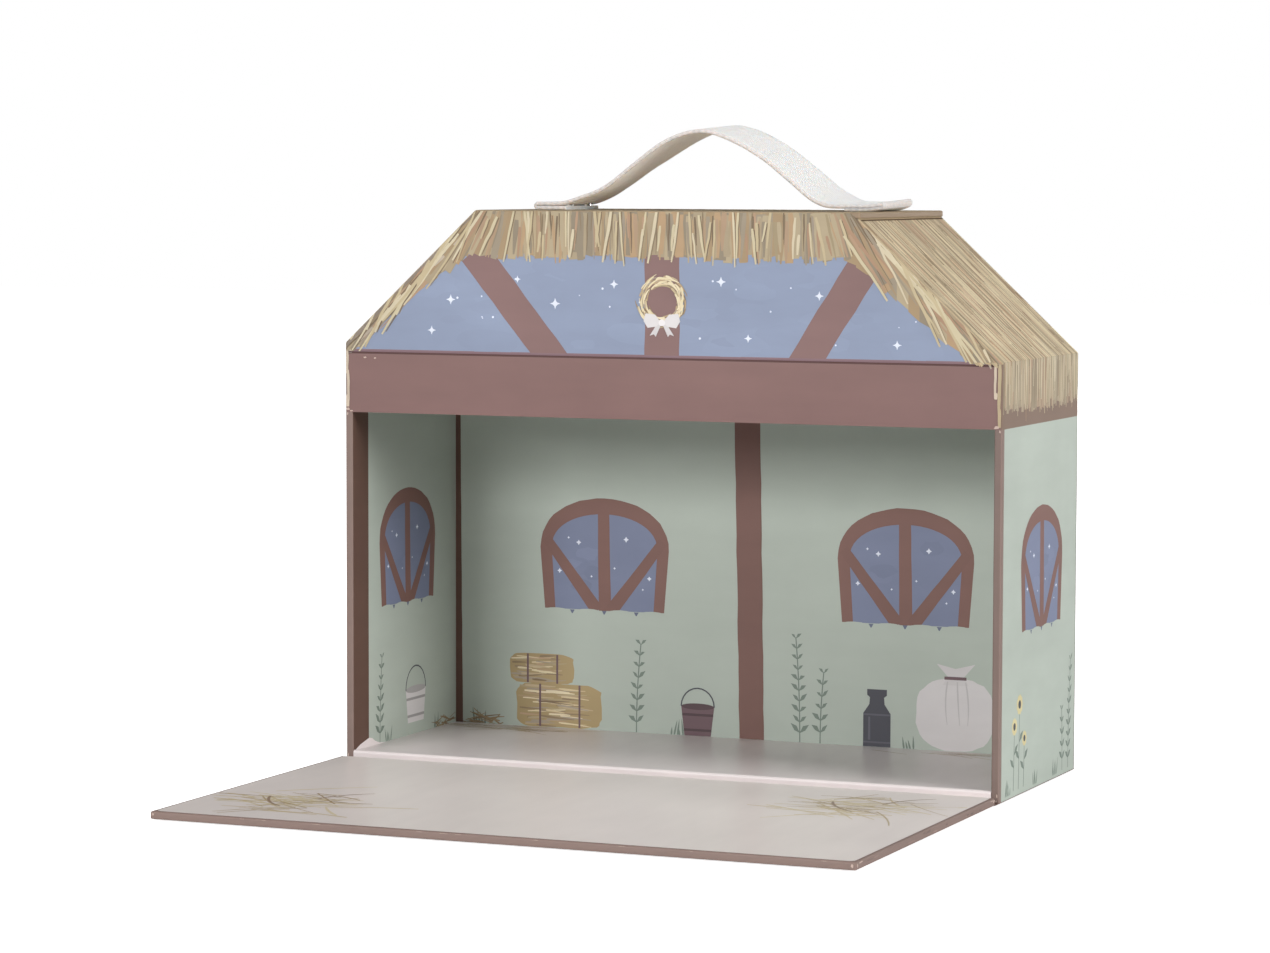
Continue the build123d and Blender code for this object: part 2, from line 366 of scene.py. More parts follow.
def webbing_material():
    """Cotton webbing in plain weave, its warp and weft measured along the strap in millimetres."""
    make = Nodes("webbing")
    along = make.add("SeparateXYZ", Vector=make.attribute("weave", "Vector"))
    waves = [
        make.maths("SINE", make.maths("MULTIPLY", socket, pi / pitch))
        for socket, pitch in zip(along.outputs, WEAVE_PITCH)
    ]
    lifted = make.maths("MULTIPLY_ADD", make.maths("MULTIPLY", *waves), 0.5, 0.5)
    yarn = make.ranged(make.noise(make.place, 500, 4), 0.95, 1.03)
    # Painted shade: the weave's low places are printed darker as well as bumped.
    make.paint(make.attribute("ink"), yarn, make.ranged(lifted, 0.92, 1.02))
    make.surface(Roughness=0.95, Sheen_Weight=0.2, Specular_IOR_Level=0.2)
    make.surface(Subsurface_Weight=0.6, Subsurface_Radius=(1.0, 0.75, 0.6), Subsurface_Scale=0.004)
    make.relief(lifted, 0.7, 0.00025)
    return make.material


MATERIALS = {
    "ink": paper_material("printed_paper"),
    "satin_ink": paper_material(
        "satin_paper", roughness=0.36, mottle=0.025, fibre=0.12, coat=0.2, grain=(160, 14, 160)
    ),
    "greyboard": board_material(),
    "brown_paper": paper_material("brown_paper", DARK_BROWN),
    "room_paper": paper_material("room_paper", SAGE, mottle=0.03),
    "lining_paper": paper_material("lining_paper", SAGE, mottle=0.03),
    "steel": steel_material("nickel_steel", NICKEL, 0.3),
    "magnet": steel_material("magnet_steel", MAGNET, 0.18),
    "webbing": webbing_material(),
}


# Building meshes

def smooth_step(t):
    """0 to 1 with level ends."""
    t = max(0.0, min(1.0, t))
    return t * t * (3 - 2 * t)


def quarter(steps):
    """Angles from 0 to a quarter turn."""
    return [pi / 2 * i / steps for i in range(steps + 1)]


def mesh_object(name, points, faces, colours, material, slot, body="case"):
    """A mesh from points in millimetres, with an ink colour for each face, riding on a body."""
    mesh = bpy.data.meshes.new(name)
    mesh.from_pydata([tuple(c * MM for c in p) for p in points], [], faces)
    ink = mesh.attributes.new("ink", "FLOAT_COLOR", "CORNER")
    corner = 0
    for face, colour in zip(faces, colours):
        value = linear(colour)
        for _ in face:
            ink.data[corner].color = value
            corner += 1
    obj = bpy.data.objects.new(name, mesh)
    bpy.context.collection.objects.link(obj)
    obj.data.materials.append(MATERIALS[material])
    if body:
        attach(obj, body)
    return obj


def grid_object(name, points, columns, colours, *finish):
    """A mesh over rows of points, in one ink colour or with a list of one colour for each face."""
    faces = []
    for r in range(len(points) // columns - 1):
        for c in range(columns - 1):
            a = r * columns + c
            faces.append((a, a + 1, a + columns + 1, a + columns))
    if isinstance(colours, tuple):
        colours = [colours] * len(faces)
    return mesh_object(name, points, faces, colours, *finish)


def face_away(obj, centre=None):
    """Face directions made to agree, and turned away from a point in millimetres where one is given."""
    shape = bmesh.new()
    shape.from_mesh(obj.data)
    bmesh.ops.recalc_face_normals(shape, faces=shape.faces)
    if centre:
        inside = Vector(centre) * MM
        votes = sum(1 if f.normal.dot(f.calc_center_median() - inside) > 0 else -1 for f in shape.faces)
        if votes < 0:
            bmesh.ops.reverse_faces(shape, faces=shape.faces)
    shape.to_mesh(obj.data)
    shape.free()


def smooth(obj):
    """Smooth shading all over."""
    for polygon in obj.data.polygons:
        polygon.use_smooth = True


def softened(obj):
    """Smooth shading that leaves the wide flats flat."""
    smooth(obj)
    normals = obj.modifiers.new("flat_faces_lead", "WEIGHTED_NORMAL")
    normals.weight = 100


def paper_sheet(obj, centre, thickness=SHEET):
    """A paper's real thickness, laid inwards from its outer face, and its shading."""
    face_away(obj, centre)
    solid = obj.modifiers.new("thickness", "SOLIDIFY")
    solid.thickness = thickness * MM
    solid.offset = -1
    softened(obj)


INSIDE_CASE = (0, 0, 100)
INSIDE_LINTEL = (0, 0, 190)
BELOW_TABLE = (0, 0, -400)
ROLL = [(EDGE_RADIUS * (1 - cos(a)), EDGE_RADIUS * (1 - sin(a))) for a in quarter(4)]


# Papers of the case

def half_width_at(z, side):
    """Distance from the middle to one side's outer face at a height."""
    return HALF_WIDTH - SLOPE_RUN * max(0.0, z - EAVES[side]) / SLOPE_RISE


def wall_profile(side):
    """Points and outward directions, in x and z, from a side wall's foot round the eave to the top panel."""
    turn = pi / 2 - SLOPE_ANGLE
    bend_z = EAVES[side] - EAVE_RADIUS * tan(turn / 2)
    rows = [(HALF_WIDTH, z, 0.0) for z in (PAPER, WALL_SPLIT, LINTEL, bend_z)]
    for i in range(1, 5):
        a = turn * i / 4
        rows.append((HALF_WIDTH - EAVE_RADIUS * (1 - cos(a)), bend_z + EAVE_RADIUS * sin(a), a))
    rows.append((half_width_at(SLOPE_TOPS[side], side), SLOPE_TOPS[side], turn))
    return [(side * x, z, side * cos(a), sin(a)) for x, z, a in rows]


def side_sheet(side):
    """Paper over one side wall and its roof slope, rolled round the front and back edges."""
    rows = wall_profile(side)
    columns = [(inset, FRONT + along) for inset, along in reversed(ROLL)]
    front_trim = len(columns)
    columns += [(0.0, FRONT + OUTER_TURN), (0.0, 0.0), (0.0, BACK - BACK_TURN)]
    back_trim = len(columns) - 1
    columns += [(inset, BACK - along) for inset, along in ROLL]
    grid = [(x - out_x * inset, y, z - out_z * inset) for x, z, out_x, out_z in rows for inset, y in columns]
    colours = []
    for r in range(len(rows) - 1):
        for c in range(len(columns) - 1):
            if c >= back_trim:
                colours.append(TRIM_DARK)
            elif r < 2:
                colours.append(EDGE_BROWN if c < front_trim else SAGE)
            else:
                colours.append(BAND_BROWN if r == 2 else STRAW_BASE)
    name = SIDE_NAMES[side]
    obj = grid_object(f"{name}_side_sheet", grid, len(columns), colours, "ink", "side_paper")
    paper_sheet(obj, INSIDE_CASE)
    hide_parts(f"{name}_side_print")


def face_plate(name, node, y, outward_y, low, colour_at, slot):
    """Flat front or back paper in level strips, with the pressed crease under its gable."""
    dent = {CREASE + offset: depth for offset, depth in CREASE_SECTION}
    middle = (EAVE + PANEL_UNDER) / 2
    levels = sorted({low, LINTEL, *dent, MAUVE_TOP, *EAVES.values(), middle, PANEL_UNDER})
    points = []
    for z in levels:
        left, right = (
            half_width_at(z, side) - EDGE_RADIUS / (1 if z < EAVES[side] else sin(SLOPE_ANGLE))
            for side in SIDES
        )
        depth = y - outward_y * dent.get(z, 0.0)
        points += [(x, depth, z) for x in (-left, -left / 3, right / 3, right)]
    colours = []
    for z0, z1 in zip(levels, levels[1:]):
        colours += [colour_at((z0 + z1) / 2)] * 3
    obj = grid_object(name, points, 4, colours, "ink", slot)
    paper_sheet(obj, INSIDE_CASE)
    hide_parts(node)


def front_colour(z):
    """Base colour of the front paper by height."""
    if z < CREASE - CREASE_HALF:
        return BROWN
    # Painted shade: the pressed crease under the gable is printed a darker brown.
    if z < CREASE + CREASE_HALF:
        return CREASE_SHADE_BROWN
    return CREASE_MAUVE if z < MAUVE_TOP else SKY


def back_colour(z):
    """Base colour of the back paper by height."""
    return SAGE if z < LINTEL else front_colour(z)


def lintel_roll():
    """The front paper rolled under the lintel's lower edge."""
    path = [(FRONT, LINTEL + EDGE_RADIUS)]
    path += [(FRONT + inset, LINTEL + along) for inset, along in ROLL[1:]]
    path.append((LINTEL_TURN, LINTEL))
    points = [(x, y, z) for y, z in path for x in (-INNER_HALF, 0, INNER_HALF)]
    obj = grid_object("lintel_roll", points, 3, BROWN, "ink", "front_paper")
    paper_sheet(obj, INSIDE_LINTEL, THIN_SHEET)


def edge_wrap(side):
    """Brown paper rolled round the front edge of a side wall and turned in."""
    path = [(INNER_HALF, TURN_IN_END), (INNER_HALF, FRONT + TURN_IN_SPLIT)]
    path += [(INNER_HALF + inset, FRONT + along) for inset, along in ROLL]
    path.append((HALF_WIDTH - EDGE_RADIUS, FRONT))
    points = [(side * x, y, z) for z in (PAPER, LINTEL / 2, LINTEL) for x, y in path]
    # Painted shade: each post's front brown is printed darker by its side's tone, the right one most.
    row = [DARK_BROWN] * 2 + [shade(EDGE_BROWN, POST_SHADE_TONES[side])] * (len(path) - 3)
    name = SIDE_NAMES[side]
    obj = grid_object(f"{name}_edge_wrap", points, len(path), row * 2, "ink", "brown_paper")
    paper_sheet(obj, (side * (INNER_HALF + 1), 0, LINTEL / 2), THIN_SHEET)
    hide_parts(f"{name}_edge_paper")


def rolled_board(name, node, low, high, radius, colour, end_colour, slot, body):
    """A paper-covered board with softly rolled edges."""
    (x0, y0, z0), (x1, y1, z1) = low, high
    points = [(x, y, z) for z in (z0, z1) for y in (y0, y1) for x in (x0, x1)]
    flats = [(0, 2, 3, 1), (4, 5, 7, 6)]
    ends = [(0, 1, 5, 4), (2, 6, 7, 3), (0, 4, 6, 2), (1, 3, 7, 5)]
    colours = [colour] * len(flats) + [end_colour] * len(ends)
    obj = mesh_object(name, points, flats + ends, colours, "ink", slot, body)
    roll = obj.modifiers.new("rolled_edges", "BEVEL")
    roll.width = radius * MM
    roll.segments = 4
    roll.limit_method = "NONE"
    softened(obj)
    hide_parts(node)


def swept_sheet(name, path, half, colour, material, slot, body, thickness=THIN_SHEET):
    """A sheet as wide as the case that follows a path of (y, z)."""
    columns = [-half + 2 * half * c / (SWEPT_COLUMNS - 1) for c in range(SWEPT_COLUMNS)]
    points = [(x, y, z) for y, z in path for x in columns]
    obj = grid_object(name, points, SWEPT_COLUMNS, colour, material, slot, body)
    paper_sheet(obj, BELOW_TABLE, thickness)
    return obj


def floor_sheet():
    """Floor paper, its front edge raised in a soft fold over the edge of the raised floor."""
    crest = FLOOR_TOP + FLOOR_RISE
    path = [(BACK_INSIDE, FLOOR_TOP), (0.0, FLOOR_TOP), (FRONT + FOLD_FOOT, FLOOR_TOP)]
    path += [(FRONT + FOLD_MIDDLE, FLOOR_TOP + FLOOR_RISE / 2), (FRONT + FLOOR_ROLL + FOLD_FLAT, crest)]
    for a in quarter(5):
        path.append((FRONT + FLOOR_ROLL * (1 - sin(a)), crest - FLOOR_ROLL * (1 - cos(a))))
    path.append((FRONT, 2 * PAPER))
    obj = swept_sheet("floor_sheet", path, INNER_HALF, FLOOR_PAPER, "satin_ink", "floor_paper", "case")
    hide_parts("floor_liner")


def gutter():
    """The two papers of the door's gutter, shaped as they lie with the door open."""
    steps = [i / 10 for i in range(11)]
    rows = [(FRONT + (DOOR_HINGE - FRONT) * t, sin(pi * t) ** 0.5) for t in steps]
    under = [(y, GUTTER_UNDER) for y, _ in rows]
    lining = [(y, GUTTER_LINING - GUTTER_DIP * dip) for y, dip in rows]
    cover = swept_sheet("gutter_cover", under, HALF_WIDTH, DARK_BROWN, "ink", "brown_paper", None)
    half = LINER_HALF - GUTTER_INSET
    inner = swept_sheet("gutter_lining", lining, half, DOOR_PAPER, "satin_ink", "floor_paper", None,
                        LINING_SHEET)
    for obj, node in ((cover, "hinge_strip"), (inner, "hinge_liner")):
        obj.modifiers.remove(obj.modifiers["flat_faces_lead"])
        with bpy.context.temp_override(object=obj, active_object=obj, selected_objects=[obj]):
            bpy.ops.object.modifier_apply(modifier="thickness")
        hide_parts(node)
        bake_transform(obj)


def door_lining():
    """Pale paper on the door's inner face, with rounded corners."""
    across = LINER_HALF - LINING_RADIUS
    low = DOOR_FREE + FREE_MARGIN + LINING_RADIUS
    high = DOOR_HINGE - HINGE_MARGIN - LINING_RADIUS
    outline = []
    for x, y, start in ((across, high, 0), (-across, high, 90), (-across, low, 180), (across, low, 270)):
        for a in quarter(4):
            turn = a + radians(start)
            outline.append((x + LINING_RADIUS * cos(turn), y + LINING_RADIUS * sin(turn), DOOR_TOP))
    ring = [tuple(range(len(outline)))]
    obj = mesh_object("door_lining", outline, ring, [DOOR_PAPER], "satin_ink", "floor_paper", "door")
    paper_sheet(obj, BELOW_TABLE, THIN_SHEET)
    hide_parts("door_liner")


# Handle

def curve_at(points, x):
    """Height at x of a smooth curve through points, level beyond its ends."""
    def slope(k):
        if k in (0, len(points) - 1):
            return 0.0
        (x0, z0), (x1, z1) = points[k - 1], points[k + 1]
        return (z1 - z0) / (x1 - x0)

    if x <= points[0][0]:
        return points[0][1]
    for k in range(1, len(points)):
        (x0, z0), (x1, z1) = points[k - 1], points[k]
        if x <= x1:
            run = x1 - x0
            t = (x - x0) / run
            ends = z0 + (z1 - z0) * (3 - 2 * t) * t * t
            return ends + run * t * (1 - t) * (slope(k - 1) * (1 - t) - slope(k) * t)
    return points[-1][1]


def strap_path():
    """Middle line (x, z) of the webbing from one tucked end over the arch to the other."""
    half = WEBBING_THICK / 2
    low = RIDGE + half
    high = low + WEBBING_THICK + PLY_GAP
    bend = (high - low) / 2
    fold_left = STRAP_LEFT + half + bend
    fold_right = STRAP_RIGHT - half - bend
    half_turn = [pi * i / 8 for i in range(9)]
    left_under = LEFT_UNDER_PLY - half - bend
    right_under = RIGHT_UNDER_PLY - half - bend
    path = [(STRAP_LEFT + LEFT_UNDER_PLY - left_under * i / 6, low) for i in range(6)]
    path += [(fold_left - bend * sin(a), low + bend * (1 - cos(a))) for a in half_turn]
    steps = round(fold_right - fold_left)
    for i in range(1, steps):
        x = fold_left + (fold_right - fold_left) * i / steps
        path.append((x, high + curve_at(STRAP_ARCH, x)))
    path += [(fold_right + bend * sin(a), high - bend * (1 - cos(a))) for a in half_turn]
    path += [(fold_right - right_under * i / 6, low) for i in range(1, 7)]
    curl_from = STRAP_RIGHT - CURL_LENGTH
    return [(x, z + END_CURL * max(0.0, (x - curl_from) / CURL_LENGTH) ** 2) for x, z in path]


def strap_section():
    """The webbing cut across: (y, n) round a flat band with rounded selvedges."""
    flat = WEBBING_WIDTH / 2 - WEBBING_THICK / 2
    half = WEBBING_THICK / 2
    across = 12
    top = [(-flat + 2 * flat * i / across, half) for i in range(across + 1)]
    rounds = [(half * sin(pi * i / 4), half * cos(pi * i / 4)) for i in (1, 2, 3)]
    section = top + [(flat + y, n) for y, n in rounds]
    section += [(y, -n) for y, n in reversed(top)]
    return section + [(-flat - y, -n) for y, n in rounds]


def handle():
    """Cotton webbing: a flat woven band with rounded selvedges, both ends doubled under."""
    path = strap_path()
    section = strap_section()
    half_width = WEBBING_WIDTH / 2
    lying = RIDGE + WEBBING_THICK / 2
    points = []
    weave = []
    run = 0.0
    for i, (x, z) in enumerate(path):
        ahead = path[min(i + 1, len(path) - 1)]
        behind = path[max(i - 1, 0)]
        length = hypot(ahead[0] - behind[0], ahead[1] - behind[1])
        nx, nz = -(ahead[1] - behind[1]) / length, (ahead[0] - behind[0]) / length
        run += hypot(x - path[i - 1][0], z - path[i - 1][1]) if i else 0.0
        tilt = curve_at(STRAP_TILT, x) * smooth_step((z - lying) / WEBBING_THICK)
        for y, n in section:
            selvedge = smooth_step((abs(y) - half_width + WEBBING_THICK) / WEBBING_THICK)
            scallop = SCALLOP_DEPTH * sin(run * 2 * pi / SCALLOP_LENGTH) * selvedge
            points.append((
                x + nx * n,
                y + copysign(scallop, y),
                z + nz * n + tilt * y / WEBBING_WIDTH,
            ))
            weave.append((run, y + n * WEAVE_SLANT, n))
    count = len(section)
    faces = []
    colours = []
    for r in range(len(path) - 1):
        for c in range(count):
            a, b = r * count + c, r * count + (c + 1) % count
            faces.append((a, b, b + count, a + count))
            across, above = (p + q for p, q in zip(section[c], section[(c + 1) % count]))
            # Painted shade: the webbing's edges and its folded right end are printed darker than its faces.
            edge_on = abs(across) > 2 * half_width - WEBBING_THICK
            at_fold = path[r][0] > STRAP_RIGHT - WEBBING_THICK
            # Painted light: the webbing's underside is printed lighter than its top.
            colours.append(WEBBING_EDGE_SHADE if edge_on or at_fold else COTTON if above > 0 else UNDERSIDE_LIGHT_COTTON)
    faces.append(tuple(range(count - 1, -1, -1)))
    faces.append(tuple(range((len(path) - 1) * count, len(path) * count)))
    colours += [COTTON] * 2
    obj = mesh_object("webbing_handle", points, faces, colours, "webbing", "webbing")
    layer = obj.data.attributes.new("weave", "FLOAT_VECTOR", "POINT")
    for i, value in enumerate(weave):
        layer.data[i].vector = value
    face_away(obj)
    smooth(obj)
    obj.data.set_sharp_from_angle(angle=radians(60))
    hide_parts("handle_strap")


# Printed faces

class Face:
    """A flat place for printing: a corner, the directions of its two measures, and the way it looks.

    A mirrored face looks the other way, so that one drawing serves both ends of the case.
    """

    def __init__(self, origin, right, up, mirrored=False):
        self.origin = Vector(origin)
        self.right = Vector(right)
        self.up = Vector(up)
        self.mirrored = mirrored
        self.out = self.up.cross(self.right) if mirrored else self.right.cross(self.up)

    def point(self, u, v, height):
        """A place at a height over the face."""
        return self.origin + self.right * u + self.up * v + self.out * height


ACROSS = (1, 0, 0)
INWARD = (0, 1, 0)
UP = (0, 0, 1)
FRONT_FACE = Face((0, FRONT, 0), ACROSS, UP)
BACK_FACE = Face((0, BACK, 0), ACROSS, UP, mirrored=True)
ROOM_BACK = Face((0, BACK_INSIDE, 0), ACROSS, UP)
ROOM_SIDES = {side: Face((side * INNER_HALF, 0, 0), (0, -side, 0), UP) for side in SIDES}
WALLS = {side: Face((side * HALF_WIDTH, 0, 0), (0, side, 0), UP) for side in SIDES}
DOOR_FACE = Face((0, 0, DOOR_TOP), ACROSS, INWARD)
DOOR_FRONT = Face((0, DOOR_FREE, 0), ACROSS, UP)
FLOOR_FACE = Face((0, 0, FLOOR_TOP), ACROSS, INWARD)
TOP_FACE = Face((0, 0, RIDGE), ACROSS, INWARD)
SLOPES = {
    side: Face(
        (side * HALF_WIDTH, 0, EAVES[side]),
        (0, side, 0),
        (-side * cos(SLOPE_ANGLE), 0, sin(SLOPE_ANGLE)),
    )
    for side in SIDES
}


def rectangle(u0, u1, v0, v1):
    """Corners of a rectangle, in order."""
    return [(u0, v0), (u1, v0), (u1, v1), (u0, v1)]


def clipped(points, outline):
    """A polygon cut to a convex outline whose corners run anticlockwise."""
    for (ax, ay), (bx, by) in zip(outline, outline[1:] + outline[:1]):
        inside = [(bx - ax) * (v - ay) - (by - ay) * (u - ax) for u, v in points]
        kept = []
        for i, p in enumerate(points):
            q = points[i - 1]
            if (inside[i] >= 0) != (inside[i - 1] >= 0):
                t = inside[i - 1] / (inside[i - 1] - inside[i])
                kept.append((q[0] + (p[0] - q[0]) * t, q[1] + (p[1] - q[1]) * t))
            if inside[i] >= 0:
                kept.append(p)
        points = kept
        if len(points) < 3:
            return []
    return points


class Print:
    """Artwork on one face: flat polygons in millimetres, laid in layers a hair apart.

    Shapes of one layer may overlap: each is laid at the lowest height that its neighbours leave free.
    """

    LIFT = 0.02
    STEP = 0.002

    def __init__(self, name, face, slot, outline, body="case", material="ink", above=None, tone=1.0):
        self.name = name
        self.face = face
        self.slot = slot
        self.outline = outline
        self.body = body
        self.material = material
        self.tone = tone
        self.base = above.top if above else self.LIFT
        self.top = self.base
        self.shapes = []
        self.layers = {}

    def polygon(self, points, colour, layer=0):
        """One flat shape, cut to the face's outline."""
        points = clipped(points, self.outline)
        if not points:
            return
        extent = []
        for measure in (lambda p: p[0], lambda p: p[1], lambda p: p[0] + p[1], lambda p: p[0] - p[1]):
            values = [measure(p) for p in points]
            extent.append((min(values), max(values)))
        placed = self.layers.setdefault(layer, [])
        taken = {
            step for other, step in placed
            if all(a[0] < b[1] and b[0] < a[1] for a, b in zip(extent, other))
        }
        step = 0
        while step in taken:
            step += 1
        placed.append((extent, step))
        # A tone other than 1 prints every colour darker or lighter: painted shade or light for a face that
        # the light reaches differently.
        self.shapes.append((points, shade(colour, self.tone), layer, step))

    def make(self):
        """The artwork as one mesh."""
        start = {}
        level = 0
        for layer in sorted(self.layers):
            start[layer] = level
            level += max(step for _, step in self.layers[layer]) + 2
        self.top = self.base + level * self.STEP
        points = []
        faces = []
        for outline, _, layer, step in self.shapes:
            height = self.base + (start[layer] + step) * self.STEP
            ring = tuple(range(len(points), len(points) + len(outline)))
            faces.append(ring[::-1] if self.face.mirrored else ring)
            points += [tuple(self.face.point(u, v, height)) for u, v in outline]
        colours = [colour for _, colour, _, _ in self.shapes]
        mesh_object(self.name, points, faces, colours, self.material, self.slot, self.body)
        return self


# Brush marks

def stroke(sheet, u, v, length, angle, width, colour, layer, bend=0.0, tip=0.35, wave=0.0):
    """A brush stroke from (u, v). Its angle, in degrees, is from straight down towards +u."""
    steps = 5
    left = []
    right = []
    heading = radians(angle)
    for i in range(steps + 1):
        t = i / steps
        half = width / 2 * (1 - (1 - tip) * t ** 2) * (0.7 if i == 0 else 1.0)
        du, dv = sin(heading), -cos(heading)
        left.append((u - dv * half, v + du * half))
        right.append((u + dv * half, v - du * half))
        sway = radians(wave) * sin(2.2 * i)
        u += sin(heading + sway) * length / steps
        v -= cos(heading + sway) * length / steps
        heading += radians(bend) / steps
    sheet.polygon(left + right[::-1], colour, layer)


def straw(sheet, u, v, length, angle):
    """One drawn straw and the shadow beside it."""
    wide = rng.uniform(0.8, 1.4)
    bend = rng.uniform(-7, 7)
    wave = rng.uniform(-5, 5)
    if rng.random() < 0.6:
        dark = rng.choice(STRAW_DARKS)
        stroke(sheet, u + wide * 0.6, v - 0.4, length * 0.94, angle, wide * 0.6, dark, 4, bend, 0.3, wave)
    stroke(sheet, u, v, length, angle, wide, rng.choice(STRAW_LIGHTS), 5, bend, 0.55, wave)


def blob(u, v, half_u, half_v, wobble, count=28, power=2.0):
    """A hand-drawn rounded outline."""
    out = []
    for i in range(count):
        a = 2 * pi * i / count
        k = 1 + rng.uniform(-wobble, wobble)
        c, s = cos(a), sin(a)
        out.append((
            u + half_u * k * copysign(abs(c) ** (2 / power), c),
            v + half_v * k * copysign(abs(s) ** (2 / power), s),
        ))
    return out


def dot(sheet, u, v, size, colour=STAR_WHITE, layer=2):
    """A small round speck."""
    sheet.polygon(blob(u, v, size, size, 0.05, 12), colour, layer)


def star(sheet, u, v, size, layer, waist):
    """A four-pointed twinkle."""
    points = []
    for i in range(8):
        a = pi / 4 * i
        r = size if i % 2 == 0 else size * waist
        points.append((u - r * sin(a), v + r * cos(a)))
    sheet.polygon(points, STAR_WHITE, layer)


def bar(sheet, a, b, width_a, width_b, colour, layer):
    """A painted bar between two places, its edges a little uneven."""
    (au, av), (bu, bv) = a, b
    length = hypot(bu - au, bv - av)
    nu, nv = -(bv - av) / length, (bu - au) / length
    steps = max(2, int(length / 7))
    left = []
    right = []
    for i in range(steps + 1):
        t = i / steps
        half = (width_a + (width_b - width_a) * t) / 2
        uneven = rng.uniform(-0.03, 0.03) * half
        u, v = au + (bu - au) * t, av + (bv - av) * t
        left.append((u + nu * (half + uneven), v + nv * (half + uneven)))
        right.append((u - nu * (half - uneven), v - nv * (half - uneven)))
    sheet.polygon(left + right[::-1], colour, layer)


def level_bar(sheet, u, v, half, thick, colour, layer):
    """A level painted bar, from its middle and half its length."""
    bar(sheet, (u - half, v), (u + half, v), thick, thick, colour, layer)


def part(sheet, box, outline, colour, layer):
    """A flat shape of a motif, given in shares of the motif's box: its place, width and height."""
    u, v, width, height = box
    sheet.polygon([(u + x * width, v + y * height) for x, y in outline], colour, layer)


# Thatch

PRINT_INSET = 0.4
THATCH_FOOT = CREASE + 0.6
THATCH_TOP = RIDGE - 0.35
GABLE_TOP = [(half_width_at(RIDGE, 1) - 0.3, THATCH_TOP), (0.3 - half_width_at(RIDGE, -1), THATCH_TOP)]
GABLE_OUTLINE = [
    (PRINT_INSET - HALF_WIDTH, THATCH_FOOT),
    (HALF_WIDTH - PRINT_INSET, THATCH_FOOT),
    (HALF_WIDTH - PRINT_INSET, EAVES[1]),
    *GABLE_TOP,
    (PRINT_INSET - HALF_WIDTH, EAVES[-1]),
]
FRINGE_LEVEL = 207.5
LEFT_STRIP = 13.0
RIGHT_STRIP = 18.0
STRIP_FROM = 95.0
STRIP_TAPER = 0.13
LIP_SHADE = 1.3
LEAN_FROM = 56
LEAN_OVER = 32
LEAN_MOST = 43
SLOPE_STRAW_FROM = 78
LONGEST_STRAW = 34
PROBE_STEP = 0.5


def slope_line(u):
    """Height of a roof slope's outer edge at a distance from the middle, negative on the left."""
    return EAVES[-1 if u < 0 else 1] + (HALF_WIDTH - abs(u)) * SLOPE_RISE / SLOPE_RUN


def roof_line(u):
    """Height of the gable's upper edge."""
    return min(RIDGE, slope_line(u))


def thatch_edge(u):
    """Height where the straw on a gable ends: a level fringe, then a strip along each slope."""
    strip = (LEFT_STRIP if u < 0 else RIGHT_STRIP) - STRIP_TAPER * (abs(u) - STRIP_FROM)
    return min(FRINGE_LEVEL, slope_line(u) - strip)


def straw_lean(u):
    """Angle of the straw on a gable: hanging in the middle, along the slopes at the ends."""
    return copysign(smooth_step((abs(u) - LEAN_FROM) / LEAN_OVER) * LEAN_MOST, u)


def straw_room(u, v, angle):
    """Length from a place down to the straw's lower edge."""
    length = 0.0
    du, dv = sin(radians(angle)), -cos(radians(angle))
    while length < LONGEST_STRAW and v > max(thatch_edge(u), CREASE) and abs(u) < HALF_WIDTH:
        length += PROBE_STEP
        u += du * PROBE_STEP
        v += dv * PROBE_STEP
    return length


